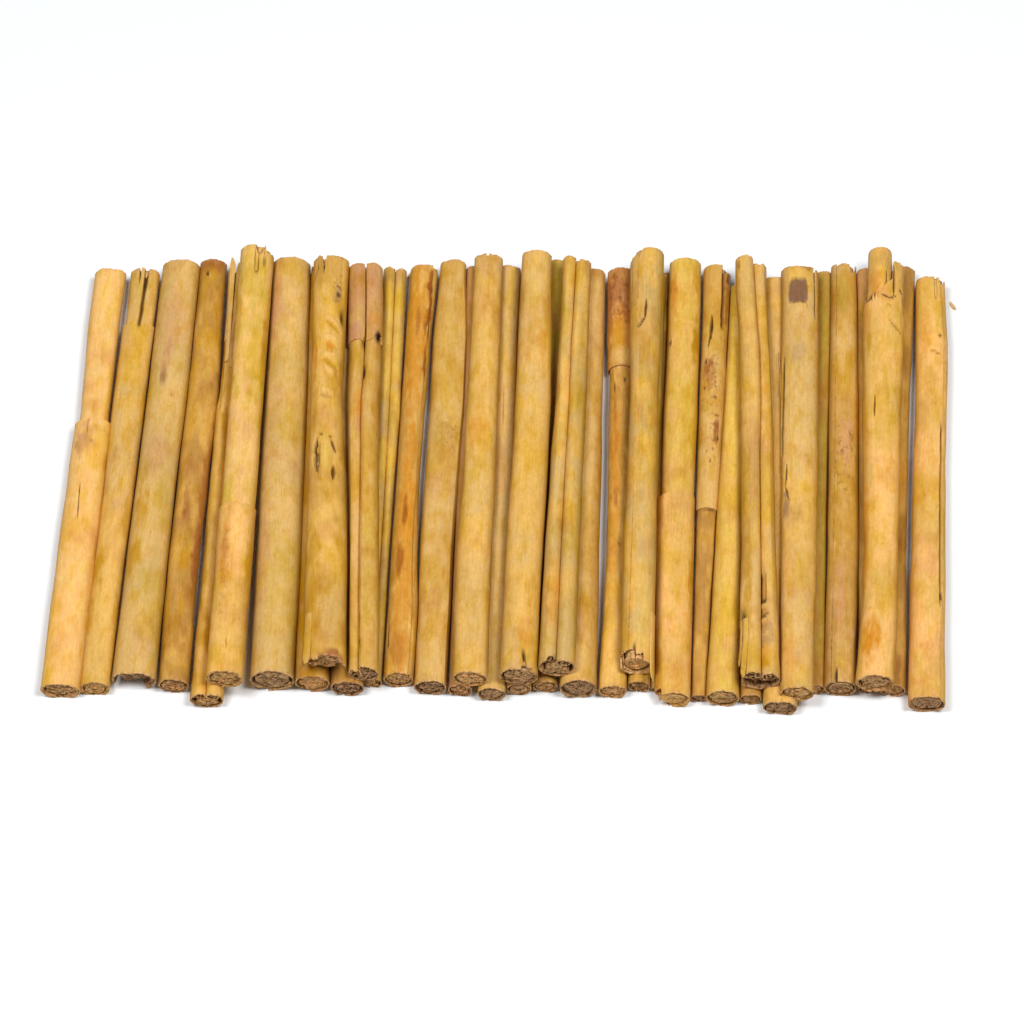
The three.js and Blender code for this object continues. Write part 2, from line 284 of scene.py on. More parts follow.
class Quill:
    """One rolled stick: where it lies, its size at each end, and what its bark is like.

    Each end is (x, y, width, height), front then back, with y where the end is cut.
      tones   the bark's main and second tone
      seam    where the outer edge of a single roll lies
      twin    where the groove of a roll from both edges lies
      course  how it strays from straight: (y, sideways shift, added width), back to front
      drift   how the seam or groove moves round the quill: (y, degrees), back to front
      torn    stretches where an end stops short: (end, from turn, to turn, shortfall), with
              a second shortfall where it changes on the way
      inset   how far inside the front end the inner rolls begin
      marks   what is on the bark
      flakes  loose tongues of bark: (degrees, root, tip, half width, lift, tone)
    """

    def __init__(self, front, back, tones, seam=SEAM_BELOW, twin=None, sleeve=None, course=(),
                 drift=(), torn=(), inset=0.0, marks=(), flakes=(), press=PRESS):
        self.ends = np.array([front, back], float)
        self.tones, self.seam, self.twin, self.sleeve = tones, seam, twin, sleeve
        self.course, self.drift, self.torn, self.inset = course, drift, torn, inset
        self.marks, self.flakes, self.press = marks, flakes, press
        self.on_floor, self.index, self.end_shade = False, 0, 1.0
        self.heights = self.ends[:, 3] / 2
        self.fit = fitted(roll_reach(TURNS - seam) if twin is None else np.ones(len(TURNS)))

    def axis(self, y, course=()):
        """Where the middle is at these places along: x, z, half width and half height."""
        start, stop = self.ends[:, 1]
        share = (y - start) / (stop - start)
        x, z, wide, high = (
            first + (last - first) * share
            for first, last in (self.ends[:, 0], self.heights, self.ends[:, 2] / 2, self.ends[:, 3] / 2)
        )
        wide = wide * (1 + SWELL * np.sin(share * 7 + self.index * 2.1))
        if course or self.course:
            shift, added = along_course(y, course or self.course)
            x, wide = x + shift, wide + added / 2
        return x, z, wide, high

    def wander(self, y):
        """How far the seam strays round the quill, in degrees."""
        strayed = 2 * STRAY * (noise(0.5, y / 34, self.index + 3) - 0.5)
        return strayed + along_course(y, self.drift)[0] if self.drift else strayed

    def pattern(self, turn, y, cells, length, shift):
        """Noise with so many cells round the quill, each so long."""
        return noise(turn / 360 * cells, y / length, self.index + 1 + shift, cells)

    def relief(self, turn, y):
        """How far the bark stands out from a plain roll: lumps, swells, ribs and fibres."""
        kinds = ((0.3, 3, 22, 0), (0.2, 6, 9, 50), (0.1, 15, 24, 90), (0.04, 36, 6, 130))
        return sum(height * (self.pattern(turn, y, *kind) - 0.5) for height, *kind in kinds)

    def colour(self, turn, y, tones):
        """The bark's colour, in its two tones or those of a layer on it, with painted shade low on its
        sides.
        """
        def patches(low, high, *layers, added=0.0):
            level = added + sum(share * self.pattern(turn, y, *layer) for share, *layer in layers)
            return smooth(level, low, high)[..., None]

        main, second = (TONES[name] for name in tones or self.tones)
        # painted shade: the bark is darkened and drawn towards olive low on its sides and below, and its
        # yellow patches come there more often
        flank_shade = 1 - smooth(np.sin(np.radians(turn)), 0.1, 0.8)
        blend = patches(0.6, 1.15, (1, 4, 11, 20), (0.7, 12, 3.5, 0))
        gilt = patches(0.85, 1.35, (1, 5, 12, 160), (0.5, 14, 3.6, 170), (0.25, 30, 1.8, 180),
                       added=0.3 * flank_shade)
        rose = patches(0.85, 1.25, (1, 4, 8, 190), (0.5, 13, 2.6, 200))
        streaks = self.pattern(turn, y, 9, 26, 70)[..., None]
        tone = main * (1 - blend) + second * blend
        tone = tone * (1 - gilt * GILT) * (1 - rose * ROSE)
        return tone * (0.93 + 0.14 * streaks) * (1 - flank_shade[..., None] * FLANK_SHADE)

    def places(self, kind):
        """Where this quill's marks need points close together."""
        spans = [getattr(mark, kind) for mark in self.marks if getattr(mark, kind)]
        if kind == "turns":
            spans += [(start - 4, stop + 4) for _, start, stop, *_ in self.torn if stop - start < 50]
        return spans


def settle(lower, upper):
    """Lower quills lie on the floor. An upper one rests on those that it spans, each pair
    touching as two ellipses do."""
    for piece in lower:
        piece.on_floor = True
    for piece in upper:
        for side, (x, _, width, height) in enumerate(piece.ends):
            rests = [height / 2]
            for carrier in lower:
                its_x, _, its_width, its_height = carrier.ends[side]
                offset = abs(x - its_x) / ((width + its_width) / 2)
                if offset < 1:
                    rise = (height + its_height) / 2 * math.sqrt(1 - offset**2)
                    rests.append(carrier.heights[side] + rise)
            piece.heights[side] = max(rests) - piece.press


LOWER = [
    Quill((-111.2, -65.4, 9.2, 6.9), (-106.0, 62.1, 8.2, 6.1), ("pale", "peach"),
        sleeve=Sleeve(0, 0.627, 0.4, ("peach", "pale"), ((17, 0.35, 0.4), (-20, 0.1, 0.1))),
        course=((42, 0, 0), (17, 0.35, -1.2), (11, 0.3, -0.2), (-40, 0, 0)),
        marks=[stain("russet", 116, 6.5, 24, 4, 0.42), stain("rosy", 102, 8, 36, 6, 0.55),
            knot(86, 7.4, 0.4), crack(101, 9.5, 15, 0.16, 0.2, 2, "brown"),
            scar((92, 13), (20, 10), 0.4, 0.12, "olive", 0.5),
            scar((102, -5.5), (99, -10.5), 0.15, 0.2, "umber"),
            scar((99, -10.5), (96, -16), 0.15, 0.2, "umber"), stain("orange", 35, -33, 16, 5, 0.4),
            stain("brown", 160, -30, 16, 60, 0.3)]),
    Quill((-102.5, -64.4, 7.2, 6.0), (-97.0, 61.8, 8.0, 6.8), ("tan", "pale"),
        sleeve=Sleeve(0, 0.863, 0.3, ("gold", "tan"), ((44, 0.15, 0.1), (0, 0, 0))),
        course=((62, 0.15, -0.3), (46, 0.25, -0.6), (40, 0, -0.2)),
        torn=[("back", 99, 104, 4), ("back", 68, 78, 1.2)],
        # its second crack is coloured dark brown as painted shade in the split
        marks=[crack(83, 43, 66, 0.5, 0.9, -9, "umber"), crack(76, 55, 66, 0.6, 0.4, -1, "crevice"),
            crack(103, 57, 64, 0.25, 0.6, 0, "umber"),
            *stains("mustard", (128, -31, 30, 6.5, 0.9), (137, -44, 16, 6, 0.9), (34, -43, 30, 7),
                (38, -15, 20, 8, 0.7), (70, 8, 30, 6, 0.5))]),
    Quill((-92.7, -62.7, 11.2, 8.6), (-87.2, 64.1, 9.9, 7.9), ("khaki", "tan"), inset=1.8,
        course=((20, 0, 0), (0, -0.1, -0.3), (-50, 0, 0)), torn=[("front", 200, 300, 3)],
        marks=[stain("rosy", 102, 29, 20, 8, 0.6),
            *stains("plum", (100, 27, 13, 4, 0.55), (92, 36, 7, 5, 0.3)), knot(69, 21, 0.35),
            stain("rosy", 95, 45, 50, 12, 0.5),
            *stains("mustard", (120, -13, 26, 8, 0.85), (124, -28, 27, 7, 0.85)),
            stain("olive", 60, -10, 22, 30, 0.3), scar((97, 7), (84, 5), 0.3, 0.15, "brown", 0.7),
            stain("rosy", 90, 3, 40, 8, 0.5)]),
    Quill((-82.6, -63.5, 7.7, 7.0), (-78.9, 65.4, 6.8, 6.2), ("honey", "brown"),
        course=((62, 0, 0), (43, 0.27, 0.55), (25, 0.6, 1.2), (6, 0.1, 1.1), (-22, -0.35, 0.2),
            (-42, -0.3, 0.2), (-60, 0, 0)),
        marks=[*stains("russet", (90, 64, 100, 3.1, 0.7), (95, -12, 22, 8, 0.6), (28, -6, 26, 22, 0.7),
            (40, -26, 24, 12, 0.9)),
            knot(105, 60.5, 0.45, "dark"),
            *stains("mustard", (50, 47, 26, 10, 0.5), (120, 40, 16, 6, 0.7), (85, -28, 26, 3.2, 0.7),
                (135, -40, 16, 7, 0.7), (80, -42, 16, 3.2), (120, 14, 20, 8, 0.5), (130, 28, 18, 10, 0.6),
                (90, 42, 20, 5, 0.5)),
            stain("russet", 90, -51, 70, 6, 0.4), specks(85, -14, 30, 12, 0.4)]),
    Quill((-74.0, -67.7, 8.4, 7.2), (-71.2, 64.2, 7.2, 6.3), ("gold", "mustard"), twin=97,
        course=((62, 0.3, -0.6), (24, 0.3, -0.6), (19, 0.1, 0), (0, 0, 0)), torn=[("back", 60, 190, 4.5)],
        flakes=[(148, 40, 63.5, 8, 0.5, "pale"), (130, 33, 66, 8, 0.8, "pale"),
            (113, 31, 64.5, 6, 0.6, "tan"), (99, 44, 61, 5, 0.5, "khaki")],
        marks=[crack(142, 20, 60, 0.7, 1.2, -12, "umber"), crack(92, 33, 46, 0.35, 0.8),
            # painted shade: the umber stain on its left side, 18 to 66 along, stands for the shade of the
            # gap beside it
            stain("mustard", 106, 12, 14, 8), stain("umber", 168, 42, 18, 24)]),
    Quill((-57.7, -62.5, 11.2, 10.3), (-58.1, 64.3, 10.0, 9.4), ("tan", "khaki"),
        course=((62, 0.1, 0.2), (42, 0.25, 0.5), (0, 0.4, 0.8), (-42, 0.35, 0.7), (-60, 0, 0.1)),
        marks=[stain("rosy", 128, 49, 24, 12), scar((30, 45), (12, 41), 0.3, 0.25, "brown", 0.8),
            stain("brown", 155, 0, 18, 50, 0.5), stain("khaki", 100, 0, 20, 60, 0.5),
            stain("rosy", 128, -25, 22, 18, 0.5), stain("olive", 35, -35, 18, 40, 0.5)]),
    Quill((-47.4, -62.6, 8.8, 8.2), (-50.2, 65.3, 6.2, 5.7), ("honey", "mustard"),
        torn=[("back", 100, 400, 3)], flakes=[(92, 47, 67, 24, 0.5, "tan")]),
    Quill((-38.6, -63.7, 8.3, 7.4), (-43.2, 64.0, 6.3, 5.5), ("brown", "tan")),
    Quill((-32.2, -61.1, 4.2, 3.9), (-30.7, 64.4, 5.8, 5.6), ("khaki", "yellow"), twin=82,
        course=((62, 0.3, 0.6), (20, 0.45, 0.9), (0, 0.3, 0.5), (-30, 0, 0))),
    Quill((-25.9, -60.9, 7.8, 7.4), (-22.7, 64.4, 7.2, 6.7), ("honey", "gold"), seam=52,
        course=((62, 0, 0), (42, -0.3, -0.6), (20, -0.6, -1.2), (0, -0.65, -1.3), (-22, -0.5, -0.9),
            (-42, 0, 0)),
        marks=[*stains("mustard", (142, 45, 16, 14, 0.7), (125, 28, 24, 12, 0.6)),
            stain("rosy", 84, 47, 9, 4, 0.6), stain("brown", 90, 0, 90, 80, 0.5),
            *stains("orange", (100, 42, 60, 32, 0.75), (90, -24, 60, 44, 0.7), (80, -14, 30, 10)),
            *stains("rust", (56, 58, 18, 5, 0.9), (44, 49, 16, 8, 0.95), (62, 45, 12, 3.4),
                (48, 33, 16, 6, 0.9), (95, -13, 15, 5), (112, -27, 20, 7, 0.7), (104, -54, 30, 6, 0.35)),
            stain("russet", 97, 46, 11, 5, 0.6), scar((50, 59), (42, 50), 0.3, 0.2, "umber"),
            scar((38, 47), (34, 41), 0.3, 0.2, "umber"), specks(50, 50, 40, 14, 0.5),
            crack(150, -52, -46, 0.5, 0.6), crack(50, -62, -10, 0.25, 0.35, 2, "brown")]),
    Quill((-17.7, -63.0, 8.1, 7.3), (-15.0, 66.7, 6.8, 5.9), ("tan", "honey"), seam=40,
        course=((62, 0, 0), (42, 0.3, 2.2), (20, 0.55, 1.9), (0, 0.15, 1.6), (-22, -0.3, 1.2),
            (-42, 0, 0.4), (-60, 0, 0)),
        marks=[stain("brown", 84, 10, 40, 7, 0.5), stain("olive", 120, 12, 20, 10, 0.4),
            specks(80, 12, 40, 8, 0.4)]),
    Quill((-10.2, -63.3, 6.1, 5.7), (-9.3, 66.0, 4.2, 3.9), ("brown", "rosy")),
    Quill((-2.2, -64.6, 7.1, 6.6), (0.3, 65.8, 5.3, 4.8), ("tan", "khaki"),
        marks=[crack(90, 14, 27, 0.2, 0.25, 6, "brown")]),
    Quill((4.7, -62.8, 5.9, 5.8), (6.3, 65.4, 5.8, 5.6), ("tan", "brown")),
    Quill((11.3, -61.9, 6.5, 6.1), (12.5, 67.6, 5.7, 5.3), ("brown", "olive")),
    Quill((19.6, -63.3, 9.5, 9.4), (22.0, 63.6, 7.4, 7.3), ("tan", "honey"), seam=285,
        marks=[stain("brown", 45, -20, 20, 40, 0.3)]),
    Quill((28.4, -63.1, 7.2, 6.2), (30.1, 64.3, 7.1, 6.2), ("honey", "gold"),
        sleeve=Sleeve(0.753, 1, 0.3, ("orange", "honey"), ((62, 0, 0), (50, 0.3, -0.3), (34, 0.4, -0.6))),
        course=((42, 0, 0), (33, 0.45, -1.0), (-22, 0.55, -1.1), (-42, 0.3, -0.6), (-60, 0, 0)),
        marks=[stain("rosy", 100, 55, 90, 14, 0.7), stain("russet", 100, 58, 80, 9, 0.65),
            stain("orange", 100, 45, 60, 8, 0.7), stain("brown", 90, 14, 90, 26),
            *stains("russet", (66, 51, 30, 5, 0.6), (145, 48, 16, 12, 0.6), (45, 48, 16, 13, 0.65),
                (110, 9, 12, 4)),
            stain("mustard", 112, 43, 24, 6, 0.7), stain("tan", 90, 36.5, 60, 3.1, 0.85),
            specks(95, 56, 90, 12, 0.9), stain("umber", 122, 27, 10, 3.1, 0.7),
            stain("russet", 118, 20, 12, 7, 0.7), stain("orange", 112, -4, 34, 32, 0.6),
            stain("russet", 112, -7, 20, 4, 0.6), knot(87, -21, 0.4, "russet"), knot(75, 29, 0.4, "umber"),
            # painted shadow: the umber line near 33 along, at the front edge of its outer layer, is the
            # shadow of that edge
            scar((135, 33.1), (50, 33.3), 0.3, 0.1, "umber", 0.8)]),
    Quill((35.1, -61.3, 5.6, 5.5), (38.8, 63.6, 6.3, 6.2), ("honey", "olive")),
    Quill((39.2, -61.2, 2.6, 2.5), (42.0, 65.9, 2.4, 2.4), ("brown", "tan")),
    Quill((43.8, -65.3, 7.9, 7.2), (46.9, 66.9, 8.5, 7.7), ("gold", "yellow"),
        sleeve=Sleeve(0, 0.45, 0.3, ("gold", "peach"), ((-2, -0.75, 1.3), (-22, -0.55, 1.2),
            (-42, -0.65, 0.9), (-64, -0.3, 0.5))),
        course=((42, 0, 0), (20, -0.3, 0.5), (-6, -0.3, 0.5), (-14, -0.6, 1.0), (-42, -0.6, 0.9),
            (-64, -0.3, 0.5)), torn=[("front", 130, 260, 2)],
        marks=[*stains("mustard", (40, 41, 20, 8, 1.0), (42, 61, 22, 5, 0.7), (30, 15, 20, 16, 0.6),
            (25, -30, 20, 8, 0.9)),
            *stains("orange", (130, 57, 18, 8), (150, -10, 24, 8, 0.7), (144, -58, 20, 7, 0.7),
                (80, -60, 40, 5, 0.4)),
            stain("yellow", 80, 52, 50, 5, 0.6), knot(140, 40.5, 0.55, "umber"), knot(125, 57, 0.35),
            # painted highlight: the pale on the raised ridge near 47 along
            scar((130, 47.5), (50, 46.5), 0.4, -0.1, "pale", 0.5)]),
    Quill((50.1, -63.9, 3.9, 3.6), (55.5, 65.8, 6.6, 6.1), ("honey", "brown"),
        sleeve=Sleeve(0.42, 1, 0.35, ("honey", "tan")), torn=[("back", -90, 60, 1.6)],
        marks=[scar((106, 49), (108, 43), 0.62, 0.9), scar((107, 45), (119, 40), 0.32, 0.6),
            crack(57, 46, 66, 0.6, 0.9, 4, "umber"),
            *stains("russet", (119, 34, 24, 3.1, 0.6), (62, 14, 18, 4), (38, 56, 18, 14, 0.6)),
            knot(124, 35.5, 0.45, "umber"), knot(108, 34, 0.4, "russet"), knot(78, 29, 0.35, "russet"),
            knot(130, 27.5, 0.35, "russet"), stain("russet", 105, 31, 30, 6, 0.6),
            knot(68, 16.5, 0.45, "russet"), knot(54, 12, 0.4, "umber"), knot(86, 5, 0.35, "russet"),
            specks(95, 20, 60, 22, 0.9), stain("umber", 32, 62, 16, 3.1), specks(45, 50, 30, 16, 0.6),
            # painted shadow: the umber line near -10 along, at the front edge of its outer layer, is the
            # shadow of that edge
            scar((140, -9.8), (40, -9.6), 0.3, 0.1, "umber")]),
    Quill((56.0, -65.0, 8.4, 7.9), (61.5, 60.9, 4.9, 4.6), ("yellow", "gold"),
        marks=[*stains("mustard", (25, -8, 22, 25), (150, 20, 16, 18, 0.5))]),
    Quill((63.2, -64.4, 5.4, 5.1), (66.1, 65.9, 3.7, 3.5), ("brown", "tan")),
    Quill((70.5, -67.2, 8.7, 6.8), (71.2, 63.1, 7.0, 5.4), ("gold", "tan")),
    Quill((79.3, -61.1, 5.1, 4.6), (84.1, 66.3, 3.7, 3.4), ("brown", "olive")),
    Quill((85.9, -61.5, 8.0, 7.3), (89.1, 67.1, 6.7, 6.1), ("honey", "tan"), seam=128,
        course=((62, 0, 0), (42, 0.3, 0.6), (0, 0.25, 0.5), (-22, 0.3, 0.5), (-50, 0, 0)),
        torn=[("back", 20, 60, 2)],
        marks=[stain("olive", 95, 57, 36, 8, 0.7), stain("rosy", 82, 10, 40, 12, 0.6),
            specks(85, 6, 60, 16, 0.7), stain("orange", 25, 20, 22, 16, 0.9),
            stain("brown", 90, -38, 90, 34, 0.6), stain("rosy", 100, -35, 26, 14, 0.6),
            *stains("mustard", (70, 33, 26, 8, 0.4), (30, -8, 20, 14, 0.7), (125, -12, 18, 14, 0.5)),
            crack(112, -63, -57, 0.45)]),
    Quill((93.1, -60.7, 5.3, 4.8), (95.3, 66.2, 5.6, 5.3), ("brown", "honey"),
        marks=[stain("rosy", 100, 62, 80, 6, 0.7)]),
    Quill((99.2, -61.4, 6.2, 5.7), (105.1, 66.7, 5.8, 5.3), ("brown", "honey"),
        course=((62, 0, 0), (42, -0.1, -0.2), (20, -0.35, -0.6), (-22, -0.3, -0.5), (-50, 0, 0)),
        marks=[*stains("russet", (70, -18, 18, 5, 0.6), (70, -55, 22, 5, 0.6)),
            stain("orange", 70, 0, 24, 10, 0.6)]),
    Quill((107.3, -65.8, 9.5, 8.0), (112.1, 63.1, 7.9, 6.5), ("gold", "peach"), seam=54,
        course=((62, 0, 0), (44, 0.45, 0.1), (20, 0.5, -0.2), (0, 0.2, 0)),
        torn=[("back", 20, 60, 1.2), ("back", 72, 78, 2.5)],
        # painted light: the brown in the crease near 39 along is painted shade, and the pale on the ridge
        # beside it a painted highlight
        marks=[knot(66, 44, 0.4, "umber"), scar((104, 39.5), (55, 38), 0.4, 0.3, "brown"),
            scar((100, 40.6), (60, 39.3), 0.4, -0.2, "pale", 0.5), stain("orange", 120, 46, 26, 9, 0.35),
            stain("mustard", 100, 30, 30, 5, 0.5), specks(15, 34, 18, 6), stain("ash", 14, 34, 10, 4, 0.5),
            crack(51, -38, 16, 0.4, 0.8, 3, "umber"), scar((44, -33), (30, -38), 0.3, 0.5, "umber"),
            knot(60, -9, 0.25, "umber"), crack(45, 45, 61, 0.4, 0.5, 6, "honey"), crack(76, 56, 63, 0.4)]),
]

